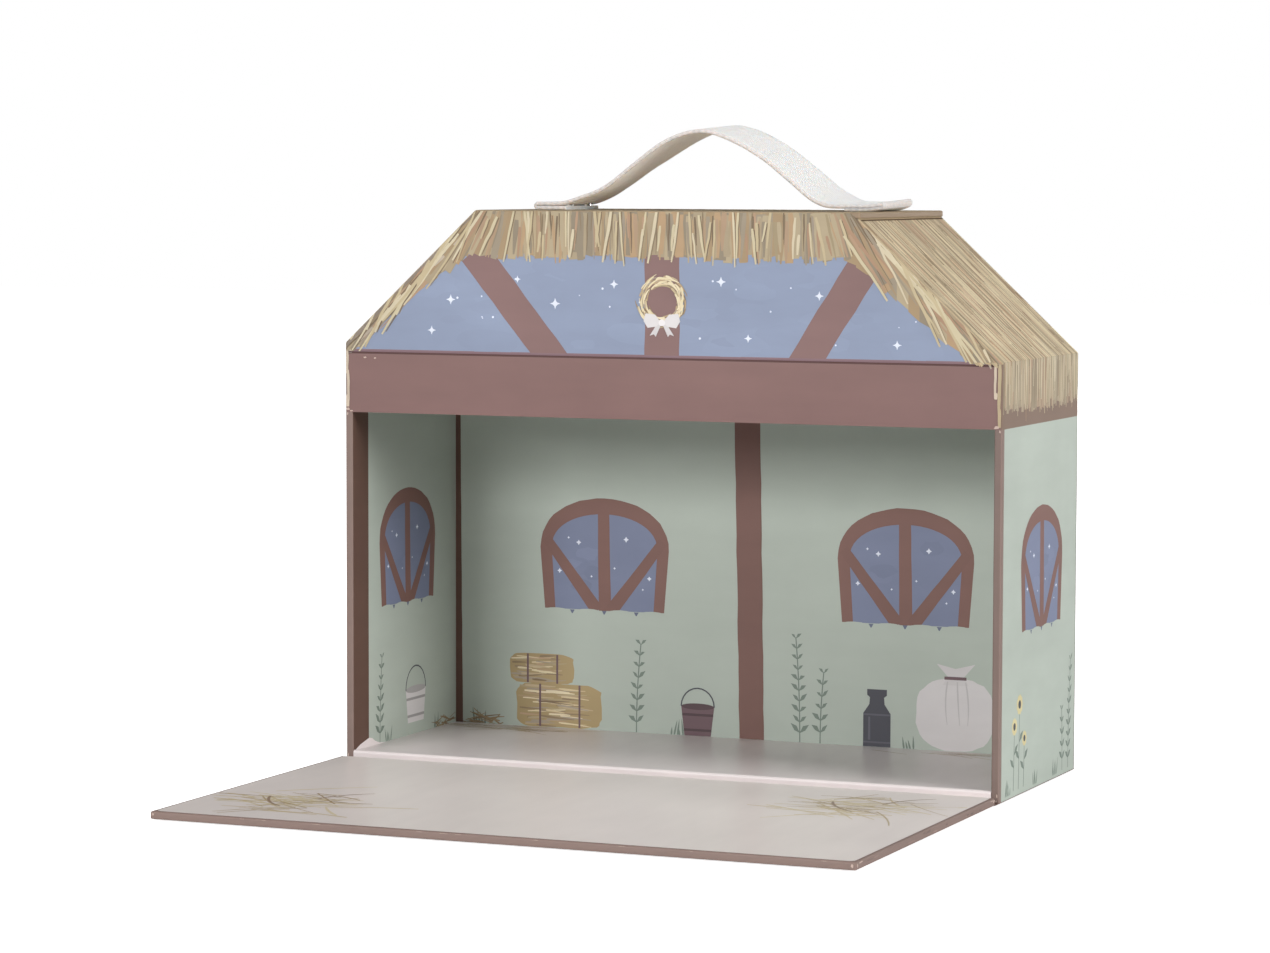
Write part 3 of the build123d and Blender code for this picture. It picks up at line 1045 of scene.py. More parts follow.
def gable_thatch(face, name, slot, above):
    """Straw drawn on a gable: a fringe under the top and straw lying down both slopes."""
    # Painted shade: the gable's straw is printed darker than the same straw on the slopes.
    sheet = Print(name, face, slot, GABLE_OUTLINE, above=above, tone=GABLE_SHADE_TONE)
    u = -HALF_WIDTH
    while u < HALF_WIDTH:
        wide = rng.uniform(3.5, 7.0)
        foot0 = max(CREASE, thatch_edge(u) + rng.uniform(0.4, 2.4))
        foot1 = max(CREASE, thatch_edge(u + wide) + rng.uniform(0.4, 2.4))
        corners = [(u, foot0), (u + wide, foot1), (u + wide, RIDGE), (u, RIDGE)]
        sheet.polygon(corners, rng.choice(STRAW_PATCHES), 0)
        u += wide

    def scatter(count, depth, spread, width, colours, layer, share, tip):
        """Strokes that begin within a depth of the roof's edge and fill a share of the straw's height."""
        for _ in range(count):
            u = rng.uniform(-HALF_WIDTH + 2, HALF_WIDTH - 2)
            v = roof_line(u) + 1.5 - rng.uniform(0, depth)
            angle = straw_lean(u) + rng.uniform(-spread, spread)
            length = straw_room(u, v, angle) * rng.uniform(*share)
            if length > 3:
                stroke(sheet, u, v, length, angle, rng.uniform(*width), rng.choice(colours), layer,
                       tip=tip, wave=rng.uniform(-4, 4))

    scatter(150, 3, 4, (3.0, 6.0), STRAW_PATCHES, 1, (0.85, 1.04), 0.7)
    scatter(150, 6, 5, (1.0, 2.4), STRAW_PATCHES + STRAW_MIDS, 2, (0.7, 1.1), 0.3)
    scatter(70, 4, 5, (0.4, 0.9), STRAW_DARKS, 3, (0.4, 1.0), 0.3)
    scatter(36, 12, 6, (0.8, 1.6), STRAW_PINKS, 3, (0.5, 1.08), 0.3)
    u = 5 - HALF_WIDTH
    while u < HALF_WIDTH - 4:
        on_slope = abs(u) > SLOPE_STRAW_FROM
        for _ in range(rng.choice((1, 2, 2, 3))):
            v = roof_line(u) + 1 - rng.choice((0, 0, 1, 5, 9)) * rng.uniform(0.5, 1.2)
            swing = rng.uniform(-17, 3) * copysign(1, u) if on_slope else rng.uniform(-10, 10)
            angle = straw_lean(u) + swing
            length = straw_room(u, v, angle) * rng.choice((0.5, 0.75, 0.95, 1.06, 1.12))
            if length > 4:
                straw(sheet, u, v, length, angle)
            u += rng.uniform(1.2, 2.6)
        u += rng.uniform(0.5, 3.5) if on_slope else rng.uniform(2.0, 9.0)
    along = degrees(SLOPE_ANGLE) - 90
    laps = ((0.7, 1.8, SLOPE_EDGE, 1.15), (2.4, 0.7, STRAW_DARKS[1], 1.1), (4.0, 1.2, LAP_CREAM, 0.7))
    for inset, width, colour, reach in laps:
        u = -half_width_at(RIDGE, -1)
        while u > -HALF_WIDTH:
            run = rng.uniform(8, 20)
            v = slope_line(u) - (inset + rng.uniform(-0.3, 0.3)) / cos(SLOPE_ANGLE)
            stroke(sheet, u, v, run * reach, along + rng.uniform(-2, 2), width * rng.uniform(0.8, 1.1),
                   shade(colour, rng.uniform(0.94, 1.05)), 3.5, tip=0.6, wave=2)
            u -= run * cos(SLOPE_ANGLE)
    return sheet.make()


def side_thatch(side):
    """Straw drawn down a roof slope and over the eave onto the side wall's brown band."""
    name = SIDE_NAMES[side]
    depth = BACK - 1.0
    eave = EAVES[side]
    slope = rectangle(-depth, depth, 0.0, SLOPE_LENGTH - 0.6)
    band = rectangle(-depth, depth, LINTEL + 0.4, eave)
    # Painted light on the slope's straw, printed lighter; painted shade on the eave band's straw, printed
    # darker.
    upper = Print(f"{name}_slope_straw", SLOPES[side], "side_paper", slope, tone=SLOPE_LIGHT_TONE)
    lower = Print(f"{name}_eave_straw", WALLS[side], "side_paper", band, tone=EAVE_SHADE_TONE)

    def scatter(count, start, run, drop, spread, width, colours, layer, tip):
        """Strokes that begin between two distances from the eave and hang no lower than a drop below it."""
        for _ in range(count):
            u = rng.uniform(-depth, depth)
            s = rng.uniform(*start)
            length = min(rng.uniform(*run), s + rng.uniform(*drop))
            if length < 4:
                continue
            angle = rng.uniform(-spread, spread)
            wide = rng.uniform(*width)
            colour = rng.choice(colours)
            stroke(upper, u, s, length, angle, wide, colour, layer, tip=tip)
            stroke(lower, u, s + eave, length, angle, wide, colour, layer, tip=tip)

    u = -depth
    while u < depth:
        wide = rng.uniform(2, 5)
        colour = rng.choice(ROOF_MIDS)
        upper.polygon(rectangle(u, u + wide, 0, SLOPE_LENGTH), colour, 0)
        foot = eave - rng.uniform(16, 19)
        corners = [(u, foot), (u + wide, foot + rng.uniform(-1.5, 1.5)), (u + wide, eave), (u, eave)]
        lower.polygon(corners, colour, 0)
        u += wide
    top = SLOPE_LENGTH + 8
    scatter(460, (-4, top), (22, 52), (15, 20.5), 2.5, (1.6, 4.2), ROOF_MIDS, 1, 0.75)
    scatter(260, (-2, top), (12, 40), (14, 20.5), 3, (0.4, 1.1), ROOF_DARKS, 2, 0.4)
    scatter(260, (-1, top), (14, 46), (16, 22), 3, (0.6, 1.5), ROOF_LIGHTS, 3, 0.45)
    scatter(50, (-1, top), (14, 40), (15, 24), 3, (0.5, 1.0), STRAW_PINKS, 4, 0.4)
    # Painted shadow: a dark strip along the top of the right slope, under the top panel's overhanging lip.
    if side > 0:
        upper.polygon(rectangle(-depth, depth, SLOPE_LENGTH - LIP_SHADE, SLOPE_LENGTH), LIP_SHADOW_BROWN, 5)
    upper.make()
    lower.make()


def top_thatch():
    """Straw drawn across the flat top, front to back."""
    sheet = Print("top_straw", TOP_FACE, "thatch_paper",
                  rectangle(-HALF_TOP + 0.5, HALF_TOP - 0.5, FRONT + 0.5, BACK - 0.5))
    spans = ((420, (20, 50), (1.8, 4.0), ROOF_MIDS, 1, 0.75), (160, (14, 40), (0.4, 1.0), ROOF_DARKS, 2, 0.4),
             (260, (12, 44), (0.7, 1.5), ROOF_LIGHTS, 3, 0.45))
    for count, run, width, colours, layer, tip in spans:
        for _ in range(count):
            u = rng.uniform(-HALF_TOP, HALF_TOP)
            v = rng.uniform(FRONT, BACK + 15)
            stroke(sheet, u, v, rng.uniform(*run), rng.uniform(-4, 4), rng.uniform(*width),
                   rng.choice(colours), layer, tip=tip)
    sheet.make()


# Motifs

BEAM_MIDDLE = -0.4
GABLE_BEAMS = (
    ((-82.5, 210), (-41.5, CREASE - 8), 13.0, 12.4),
    ((86.5, 210), (54.5, CREASE - 8), 13.2, 12.8),
    ((BEAM_MIDDLE, 212), (BEAM_MIDDLE, CREASE - 4), 14.8, 14.8),
)
GABLE_STARS = (
    (-92.5, 190.5, 2.1), (-101, 178, 1.9), (-46.5, 189.5, 2.3), (-21, 197.5, 1.9), (24.5, 199, 2.1),
    (65.5, 194, 1.9), (97.5, 175.5, 1.9), (36, 177, 1.7), (-63, 199, 1.5),
)
WREATH_MIDDLE = 191.0
WREATH_RADIUS = 8.2
BOW_DROP = 8.4
BOW = (
    (((0.3, 0), (3, 3.2), (7, 3.6), (7.8, 0.6), (6.1, -2.1), (2.6, -1.6)), 1.0, 5),
    (((0, 0), (2.0, -0.4), (5.2, -5.2), (3.4, -4.6), (2.6, -5.6)), 0.96, 4),
)
ARCH_SQUEEZE = 0.93
ARCH_SPRING = 0.55
FRAME_SHARE = 0.088
WINDOW_STARS = (
    (-0.56, 0.64, 0.45), (-0.4, 0.6, 0.9), (0.34, 0.64, 0.95), (0.6, 0.2, 0.4),
    (-0.7, 0.34, 0.8), (0.16, 0.38, 0.45), (0.7, 0.3, 0.8), (-0.2, 0.3, 0.4),
)
LEAF = 4.4


def gable_sky(face, name, slot):
    """Night sky behind three beams on a gable, with stars."""
    foot = half_width_at(SKY_FOOT, 1) - PRINT_INSET
    sheet = Print(name, face, slot, [(-foot, SKY_FOOT), (foot, SKY_FOOT), *GABLE_TOP])
    for _ in range(50):
        half = rng.uniform(4, 14)
        patch = shade(SKY, rng.uniform(0.985, 1.02))
        place = (rng.uniform(-105, 105), rng.uniform(CREASE + 5, 204))
        sheet.polygon(blob(*place, half, half * 0.35, 0.2, 14), patch, 0)
    for beam in GABLE_BEAMS:
        bar(sheet, *beam, BEAM_BROWN, 1)
    for u, v, size in GABLE_STARS:
        star(sheet, u, v, size, 2, 0.34)
        dot(sheet, u, v, size * 0.45, layer=3)
    for _ in range(22):
        dot(sheet, rng.uniform(-108, 108), rng.uniform(CREASE + 5, 203), rng.uniform(0.22, 0.5), layer=0.5)
    return sheet.make()


def wreath(above):
    """A ring of straw with a pale bow, hung from the fringe on the middle beam."""
    outline = rectangle(-30, 30, CREASE + 1, RIDGE)
    sheet = Print("gable_wreath", FRONT_FACE, "front_paper", outline, above=above)
    rings = ((1, STRAW_DARKS, 60, 2.3), (2, STRAW_MIDS, 90, 2.0), (3, STRAW_LIGHTS, 60, 1.9))
    for layer, colours, count, spread in rings:
        for _ in range(count):
            a = rng.uniform(0, 360)
            r = WREATH_RADIUS + rng.uniform(-spread, spread)
            u = BEAM_MIDDLE + r * sin(radians(a))
            v = WREATH_MIDDLE + r * cos(radians(a))
            stroke(sheet, u, v, rng.uniform(3.5, 6.5), 90 - a + rng.uniform(-16, 16), rng.uniform(0.5, 1.0),
                   rng.choice(colours), layer, bend=-34)
    foot = WREATH_MIDDLE - BOW_DROP
    for side in SIDES:
        for outline, tone, layer in BOW:
            points = [(side * u + BEAM_MIDDLE, foot + v) for u, v in outline]
            sheet.polygon(points[::side], shade(CREAM, tone), layer)
    dot(sheet, BEAM_MIDDLE, foot, 1.4, shade(CREAM, 1.06), 6)
    sheet.make()


def arch(u, foot, half, spring, crown):
    """Outline of an arched opening, a little narrower at its foot."""
    steps = 24
    out = [(u - half * ARCH_SQUEEZE, foot)]
    for i in range(steps + 1):
        a = pi * i / steps
        out.append((u - half * cos(a), spring + (crown - spring) * sin(a) ** 0.9))
    out.append((u + half * ARCH_SQUEEZE, foot))
    return out[::-1]


def window(sheet, u, foot, width, height):
    """An arched barn window seen against the night: frame, middle bar and two braces."""
    half = width / 2
    spring = foot + height * ARCH_SPRING
    crown = foot + height
    rim = width * FRAME_SHARE
    outer = arch(u, foot, half, spring, crown)
    rough = [(a + rng.uniform(-0.16, 0.16), b + rng.uniform(-0.16, 0.16)) for a, b in outer[1:-1]]
    sheet.polygon([outer[0]] + rough + [outer[-1]], FRAME_BROWN, 1)
    sheet.polygon(arch(u, foot, half - rim, spring, crown - rim * 1.3), PANE, 2)
    for _ in range(6):
        place = (u + rng.uniform(-0.25, 0.25) * width, foot + rng.uniform(0.2, 0.7) * height)
        spot = blob(*place, width * 0.09, height * 0.06, 0.25, 12)
        sheet.polygon(spot, shade(PANE, rng.uniform(0.95, 1.05)), 3)
    bar(sheet, (u + 0.3, foot - 0.2), (u - 0.4, crown - rim), rim * 1.1, rim, FRAME_BROWN, 5)
    brace = shade(FRAME_BROWN, 0.98)
    for side in SIDES:
        top = (u + side * (half - rim * 0.5), spring + 3.8)
        bar(sheet, (u + side * rim * 0.6, foot - 0.2), top, rim * 1.1, rim * 0.8, brace, 5)
    scallops = 4
    drop = (0, 0.12, 0.3, 0.5, 0.7, 0.88, 1)
    for i in range(scallops):
        a = u - half + 2 * half * i / scallops
        b = a + 2 * half / scallops
        hump = [(a + (b - a) * t, foot - 1.4 + 1.8 * sin(pi * t) ** 0.5) for t in drop]
        sheet.polygon([(a, foot - 2), (b, foot - 2)] + hump[::-1], SAGE, 6)
    for share in (-0.5, 0.0, 0.5):
        drip = u + share * half
        notch = ((1.1, -0.2), (-1.1, -0.2), (-0.2, -1.8), (0.2, -1.8))
        sheet.polygon([(drip + x, foot + y) for x, y in notch], shade(PANE, 0.85), 7)
    for share_u, share_v, size in WINDOW_STARS:
        star(sheet, u + share_u * half, foot + share_v * height, size * width / 44, 4, 0.5)


def sprig(sheet, u, v, height, bend):
    """A stem with paired leaves."""
    pairs = max(4, int(height / LEAF))
    stem = [(u + bend * (i / pairs) ** 2, v + height * i / pairs) for i in range(pairs + 1)]
    for a, b in zip(stem, stem[1:]):
        bar(sheet, a, b, 0.55, 0.5, SPRIG, 1)
    for i, (x, y) in enumerate(stem[1:], 1):
        for side in SIDES:
            reach = LEAF * (1 - 0.45 * i / pairs) * rng.uniform(0.75, 1.1)
            rise = rng.uniform(0.55, 0.95)
            tips = ((0.6, 0.15), (1, rise), (0.34, 0.6))
            leaf = [(x, y - 0.5)] + [(x + side * reach * a, y + reach * b) for a, b in tips]
            sheet.polygon(leaf[::side], SPRIG, 2)


def grass(sheet, u, v, count):
    """A low tuft of blades."""
    for i in range(count):
        stroke(sheet, u + i * 1.3 + rng.uniform(-0.3, 0.3), v, rng.uniform(3, 7), 180 + rng.uniform(-16, 16),
               0.9, SPRIG, 1, tip=0.1)


def straw_scatter(
    sheet, u, v, spread, count, colours, layer=1, width=(0.35, 0.8), length=(8, 26), turn=(58, 118)
):
    """Loose straws drawn lying about, each turned left or right of straight down by an angle in degrees."""
    for _ in range(count):
        angle = rng.choice(SIDES) * rng.uniform(*turn)
        run = rng.uniform(*length)
        start = u + rng.gauss(0, 0.4) * spread[0] - sin(radians(angle)) * run / 2
        stroke(sheet, start, v + rng.gauss(0, 0.4) * spread[1], run, angle, rng.uniform(*width),
               rng.choice(colours), layer, bend=rng.uniform(-24, 24), tip=0.5)


def bale(sheet, u, v, width, height, layer=1):
    """A straw bale seen from the side, tied twice."""
    sheet.polygon(blob(u, v + height / 2, width / 2, height / 2, 0.03, 32, 5), BALE_TAN, layer)
    straws = height * 3.2
    for i in range(int(straws)):
        y = v + 0.8 + (height - 1.6) * i / straws
        x = u - width / 2 + rng.uniform(0.5, width * 0.55)
        run = rng.uniform(width * 0.2, width * 0.4)
        stroke(sheet, x, y, run, 90 + rng.uniform(-5, 5), rng.uniform(0.5, 1.1),
               rng.choice(STRAW_DARKS + STRAW_LIGHTS + STRAW_MIDS), layer + 1, bend=rng.uniform(-6, 6))
    for x in (-0.22, 0.24):
        tie = u + x * width
        bar(sheet, (tie, v + 0.3), (tie, v + height - 0.3), 0.9, 0.9, PLUM, layer + 2)


def sack(sheet, u, v, width, height, colour):
    """A plump tied sack."""
    sheet.polygon(blob(u, v + height * 0.42, width / 2, height * 0.42, 0.02, 36, 2.6), colour, 1)
    neck = ((0.17, 0.76), (0.11, 0.86), (0.25, 1.01), (0.0, 0.95), (-0.24, 1.0), (-0.1, 0.86), (-0.16, 0.76))
    part(sheet, (u, v, width, height), neck, shade(colour, 0.97), 2)
    level_bar(sheet, u, v + height * 0.84, width * 0.14, 1.3, PLUM, 3)
    fold = shade(colour, 0.9)
    for x, bend in ((-0.2, 20), (0.05, 4), (0.26, -18)):
        stroke(sheet, u + x * width * 0.5, v + height * 0.8, height * 0.5, x * 40, 0.7, fold, 3, bend)


def pail(sheet, u, v, width, height, colour):
    """A wooden pail with two hoops and a wire handle."""
    part(sheet, (u, v, width, height), ((-0.4, 0), (0.4, 0), (0.5, 1), (-0.5, 1)), colour, 1)
    sheet.polygon(blob(u, v + height, width * 0.5, height * 0.11, 0.0), shade(colour, 0.8), 2)
    for t in (0.2, 0.72):
        level_bar(sheet, u, v + height * t, width * (0.4 + 0.1 * t), 1.1, shade(colour, 0.75), 2)
    ring = [pi * i / 12 for i in range(13)]
    wire = [(u - width * 0.5 * cos(a), v + height + width * 0.52 * sin(a)) for a in ring]
    for a, b in zip(wire, wire[1:]):
        bar(sheet, a, b, 0.6, 0.6, SLATE, 2)


def churn(sheet, u, v, width, height, colour):
    """A milk churn."""
    outline = ((-0.5, 0), (0.5, 0), (0.5, 0.58), (0.28, 0.74), (0.26, 0.86), (0.36, 0.9), (0.36, 1.0),
               (-0.36, 1.0), (-0.36, 0.9), (-0.26, 0.86), (-0.28, 0.74), (-0.5, 0.58))
    part(sheet, (u, v, width, height), outline, colour, 1)
    for t in (0.08, 0.56):
        level_bar(sheet, u, v + height * t, width * 0.5, 0.7, shade(colour, 1.25), 2)
    shine = u - width * 0.28
    bar(sheet, (shine, v + height * 0.12), (shine, v + height * 0.52), 1.0, 0.8, shade(colour, 1.3), 2)


def lantern(sheet, u, v, width, height, colour):
    """A stable lantern with a warm pane."""
    box = (u, v, width, height)
    bar(sheet, (u, v + height), (u, v + height * 1.22), 0.6, 0.6, colour, 1)
    part(sheet, box, ((-0.5, 0), (0.5, 0), (0.44, 0.12), (-0.44, 0.12)), colour, 1)
    part(sheet, box, ((-0.42, 0.12), (0.42, 0.12), (0.36, 0.74), (-0.36, 0.74)), HONEY, 1)
    part(sheet, box, ((-0.48, 0.72), (0.48, 0.72), (0.1, 1.0), (-0.1, 1.0)), colour, 2)
    for x in (-0.38, 0.0, 0.38):
        foot = (u + x * width, v + height * 0.1)
        bar(sheet, foot, (u + x * width * 0.9, v + height * 0.76), 0.8, 0.8, colour, 2)


def flower(sheet, u, v, height, size):
    """A round yellow bloom on a tall stem."""
    head_u, head_v = u + 0.8, v + height
    bar(sheet, (u, v), (head_u, head_v), 0.6, 0.5, SPRIG, 1)
    petals = 9
    for i in range(petals):
        a = 2 * pi * i / petals
        place = (head_u + size * 0.75 * cos(a), head_v + size * 0.75 * sin(a))
        sheet.polygon(blob(*place, size * 0.42, size * 0.42, 0.05, 10), HONEY, 2)
    dot(sheet, head_u, head_v, size * 0.5, SLATE, 3)
    for side, t in ((-1, 0.35), (1, 0.55)):
        leaf = ((0, 0), (3.2, 1.4), (5, 4.2), (1.6, 3.2))
        sheet.polygon([(u + 0.5 + side * x, v + height * t + y) for x, y in leaf][::side], SPRIG, 1)


def scuffs(sheet, spots):
    """Pale marks where the paper's colour has rubbed off at folds and corners."""
    for u, v, half_u, half_v in spots:
        sheet.polygon(blob(u, v, half_u, half_v, 0.3, 9), WEAR, 9)


# Artwork of each face

ROOM_PRINT = (FLOOR_TOP + 0.05, PANEL_UNDER - 60)
ROOM_POST_TOP = 170
OUTER_PRINT = (0.4, LINTEL)
DOOR_EDGE_PRINT = (0.5, 2.7)
FLOOR_CURL = ((0.6, 0), (30, 0), (23.5, 0.5), (19.4, 1.8), (17.0, 3.2), (14.2, 3.7), (6, 1.9))
DOOR_STRAWS = ((-104, -172, (34, 26)), (98, -98, (34, 28)))
LINTEL_SCUFFS = (
    (-138.8, LINTEL + 1.2, 0.9, 0.5), (-137.4, LINTEL + 0.5, 0.8, 0.3), (137.8, LINTEL + 0.8, 1.0, 0.5),
    (-131.0, CREASE - 1.9, 0.8, 0.35), (-126.5, CREASE - 2.1, 0.5, 0.3),
)
POST_SCUFFS = ((139.2, 3.0, 0.25, 0.7), (138.9, 1.0, 0.4, 0.4), (139.1, LINTEL - 0.8, 0.3, 0.6))
DOOR_FRONT_SCUFFS = ((138.4, 1.6, 0.6, 0.6), (-138.7, 1.9, 0.4, 0.5))
DOOR_SIDE_SCUFFS = (
    (DOOR_FREE + 1.2, 1.6, 0.6, 0.7), (DOOR_FREE + 4.6, 2.4, 1.6, 0.25),
    (DOOR_HINGE - 1.4, 2.0, 0.9, 0.5), (DOOR_HINGE - 4.2, 2.4, 2.0, 0.2),
)


def room_back_art():
    """Back wall of the room."""
    outline = rectangle(-INNER_HALF + 0.2, INNER_HALF - 0.2, *ROOM_PRINT)
    sheet = Print("room_back_print", ROOM_BACK, "room_paper", outline)
    window(sheet, -67.0, 56.0, 59.2, 47.8)
    window(sheet, 68.0, 56.0, 59.4, 48.2)
    foot = FLOOR_TOP
    bar(sheet, (0.5, foot - 1), (-2.6, ROOM_POST_TOP), 11.0, 11.6, shade(FRAME_BROWN, ROOM_POST_TONE), 9)
    for u in (-INNER_HALF, INNER_HALF):
        bar(sheet, (u, foot - 1), (u, ROOM_POST_TOP), 7.0, 4.4, DARK_BROWN, 9)
    bale(sheet, -88, foot, 40, 19)
    bale(sheet, -96, foot + 18.6, 30, 13, 4)
    sprig(sheet, -52, foot, 38, 2.0)
    grass(sheet, -128, foot, 5)
    grass(sheet, -36, foot, 5)
    pail(sheet, -24, foot, 15, 12.5, PLUM)
    sprig(sheet, 22, foot, 44, -2.0)
    sprig(sheet, 31, foot, 30, 1.5)
    churn(sheet, 56, foot, 12, 24, SLATE)
    sack(sheet, 90, foot, 34, 36, CREAM)
    grass(sheet, 68, foot, 4)
    grass(sheet, 112, foot, 6)
    straw_scatter(sheet, -122, foot + 1.5, (14, 1.6), 18, STRAW_DARKS, 7, length=(6, 14))
    sheet.make()


def room_side_art(side):
    """A side wall of the room, with its window and things for the animals."""
    ends = sorted((-side * TURN_IN_END, -side * (BACK_INSIDE - 0.2)))
    outline = rectangle(*ends, *ROOM_PRINT)
    sheet = Print(f"room_{SIDE_NAMES[side]}_print", ROOM_SIDES[side], "room_paper", outline)
    window(sheet, -side * 0.5, 61.5, 53.0, 48.0)
    if side < 0:
        pail(sheet, 8, FLOOR_TOP + 5, 19, 14, CREAM)
        grass(sheet, -20, FLOOR_TOP, 4)
        grass(sheet, 26, FLOOR_TOP, 4)
        sprig(sheet, -26, FLOOR_TOP, 36, 2.0)
        straw_scatter(sheet, 34, FLOOR_TOP + 2, (12, 1.6), 16, STRAW_DARKS, 4, length=(6, 14))
    else:
        bale(sheet, 4, FLOOR_TOP, 40, 19)
        sprig(sheet, -32, FLOOR_TOP, 42, 2)
        lantern(sheet, 32, 26, 12, 18, SLATE)
    sheet.make()


def floor_turn_up(side):
    """The floor paper's end, curling up the wall at the front."""
    points = [(-side * (FRONT + along), FLOOR_TOP + rise) for along, rise in FLOOR_CURL]
    sheet = Print(f"floor_{SIDE_NAMES[side]}_turn_up", ROOM_SIDES[side], "floor_paper",
                  rectangle(-60, 60, 0, 20), material="satin_ink")
    sheet.polygon(points[::-side], FLOOR_PAPER, 60)
    sheet.base = 0.2
    sheet.make()


def outer_wall_art(side):
    """Outside of a side wall."""
    ends = sorted((side * (FRONT + OUTER_TURN), side * (BACK - BACK_TURN)))
    sheet = Print(f"{SIDE_NAMES[side]}_wall_print", WALLS[side], "side_paper", rectangle(*ends, *OUTER_PRINT))
    window(sheet, side * 3.0, 63.5, 55.0, 48.0)
    for u, height, size in ((-32, 25, 3.0), (-25.5, 33, 3.4), (-19, 19, 2.6)):
        flower(sheet, u, 2.5, height, size)
    for u, count in ((-42, 5), (-6, 4), (20, 5)):
        grass(sheet, u, 1.5, count)
    sprig(sheet, 41, 2, 44, 2.5)
    sprig(sheet, 33, 2, 25, -1.0)
    sheet.make()


def back_wall_art():
    """Outside of the back wall."""
    outline = rectangle(-HALF_WIDTH + 1, HALF_WIDTH - 1, *OUTER_PRINT)
    sheet = Print("back_wall_print", BACK_FACE, "side_paper", outline)
    for u in (-70, 70):
        window(sheet, u, 58.0, 59.0, 48.0)
    bar(sheet, (0, -2), (0, LINTEL + 4), 11.4, 11.4, BROWN, 1)
    for u in (-120, -58, 46, 110):
        grass(sheet, u, 1.5, 6)
    for u, height in ((-104, 40), (-94, 26), (96, 44), (124, 30)):
        sprig(sheet, u, 2, height, 2.0)
    for u, height, size in ((30, 28, 3.0), (37, 36, 3.4), (44, 22, 2.6)):
        flower(sheet, u, 2, height, size)
    sheet.make()


def straw_prints():
    """Straws drawn on the door's inner paper and on the floor."""
    outline = rectangle(-LINER_HALF + 1, LINER_HALF - 1, DOOR_FREE + 2.5, DOOR_HINGE - 0.5)
    door = Print("door_print", DOOR_FACE, "floor_paper", outline, body="door", material="satin_ink")
    for u, v, spread in DOOR_STRAWS:
        straw_scatter(door, u, v, spread, 36, DOOR_PALES, 1, (0.8, 1.6), (14, 44), (40, 140))
        straw_scatter(door, u, v, spread, 16, DOOR_DARKS, 2, (0.5, 1.0), (12, 40), (30, 150))
        for along, angle, bend in ((-12, 20, 40), (8, 165, -50)):
            stroke(door, u + along, v + 10, 26, angle, 1.2, STALK_BROWN, 3, bend, 0.5)
    door.make()
    outline = rectangle(-INNER_HALF + 1, INNER_HALF - 1, FRONT + 4, BACK_INSIDE - 0.5)
    floor = Print("floor_print", FLOOR_FACE, "floor_paper", outline, material="satin_ink")
    straw_scatter(floor, -106, 38, (34, 8), 44, FLOOR_OCHRES)
    straw_scatter(floor, 96, 40, (30, 6), 18, FLOOR_OCHRES)
    floor.make()


def front_trim(above):
    """Straw paper lapped round the lintel's ends, and scuffed folds."""
    outline = rectangle(-HALF_WIDTH + 0.35, HALF_WIDTH - 0.35, LINTEL - 3, EAVE)
    sheet = Print("front_trim_print", FRONT_FACE, "front_paper", outline, above=above)
    for side, inset, width, foot, colour in (
        (-1, 1.1, 1.5, LINTEL + 3, LAP_CREAM),
        (1, 2.7, 1.3, LINTEL + 12, LAP_CREAM),
        (1, 1.1, 1.7, LINTEL + 2, STRAW_MIDS[0]),
    ):
        v = EAVE - 0.5
        while v > foot + 2:
            run = min(rng.uniform(6, 13), v - foot)
            u = side * (HALF_WIDTH - inset + rng.uniform(-0.2, 0.2))
            stroke(sheet, u, v, run * 1.2, rng.uniform(-1, 1), width * rng.uniform(0.8, 1.1),
                   shade(colour, rng.uniform(0.95, 1.04)), 3, tip=0.75, wave=3)
            v -= run
    for _ in range(10):
        stroke(sheet, HALF_WIDTH - rng.uniform(2, 12), CREASE + 2, rng.uniform(1.6, 3.4), rng.uniform(20, 60),
               rng.uniform(0.7, 1.3), rng.choice(STRAW_MIDS), 4)
    scuffs(sheet, LINTEL_SCUFFS)
    sheet.make()


def worn_corners():
    """Scuffs at the feet of the front posts and along the door's edges."""
    feet = Print("foot_scuffs", FRONT_FACE, "brown_paper", rectangle(-HALF_WIDTH, HALF_WIDTH, 0.3, LINTEL))
    for side in SIDES:
        scuffs(feet, [(side * u, *rest) for u, *rest in POST_SCUFFS])
    feet.make()
    outline = rectangle(-139, 139, *DOOR_EDGE_PRINT)
    front = Print("door_front_scuffs", DOOR_FRONT, "brown_paper", outline, body="door")
    scuffs(front, DOOR_FRONT_SCUFFS)
    for _ in range(10):
        scuffs(front, [(rng.uniform(-135, 135), 2.62, rng.uniform(0.6, 2.0), 0.06)])
    front.make()
    outline = rectangle(DOOR_FREE + 0.5, DOOR_HINGE - 0.5, *DOOR_EDGE_PRINT)
    end = Print("door_side_scuffs", WALLS[1], "brown_paper", outline, body="door")
    scuffs(end, DOOR_SIDE_SCUFFS)
    for _ in range(14):
        place = (rng.uniform(DOOR_FREE + 6, DOOR_HINGE - 6), rng.uniform(1.0, 2.4))
        streak = blob(*place, rng.uniform(1, 4), 0.3, 0.3, 9)
        end.polygon(streak, shade(EDGE_BROWN, rng.uniform(0.8, 1.15)), 1)
    end.make()


# Stage, light and camera

LIGHT_AIM = Vector((0, 0, 0.1))
LIGHT_DISTANCE = 3.0
SOFT_BOXES = (
    ("front_left_box", -20, 16, 1.2, 0.85, 45.0),
    ("front_box", 0, 20, 1.2, 0.42, 9.0),
    ("right_box", 75, 21, 1.2, 1.3, 63.0),
    ("back_box", 180, 5, 1.4, 0.5, 24.0),
    ("left_box", -105, 8, 1.2, 0.7, 12.0),
    ("top_box", 0, 88, 2.0, 2.0, 32.0),
)
FLOOR_LEVEL = -0.0006
FLOOR_REACH = 6
FLOOR_GLOW = (0.8, 1.05)
GLOW_REACH = (0.25, 0.8)


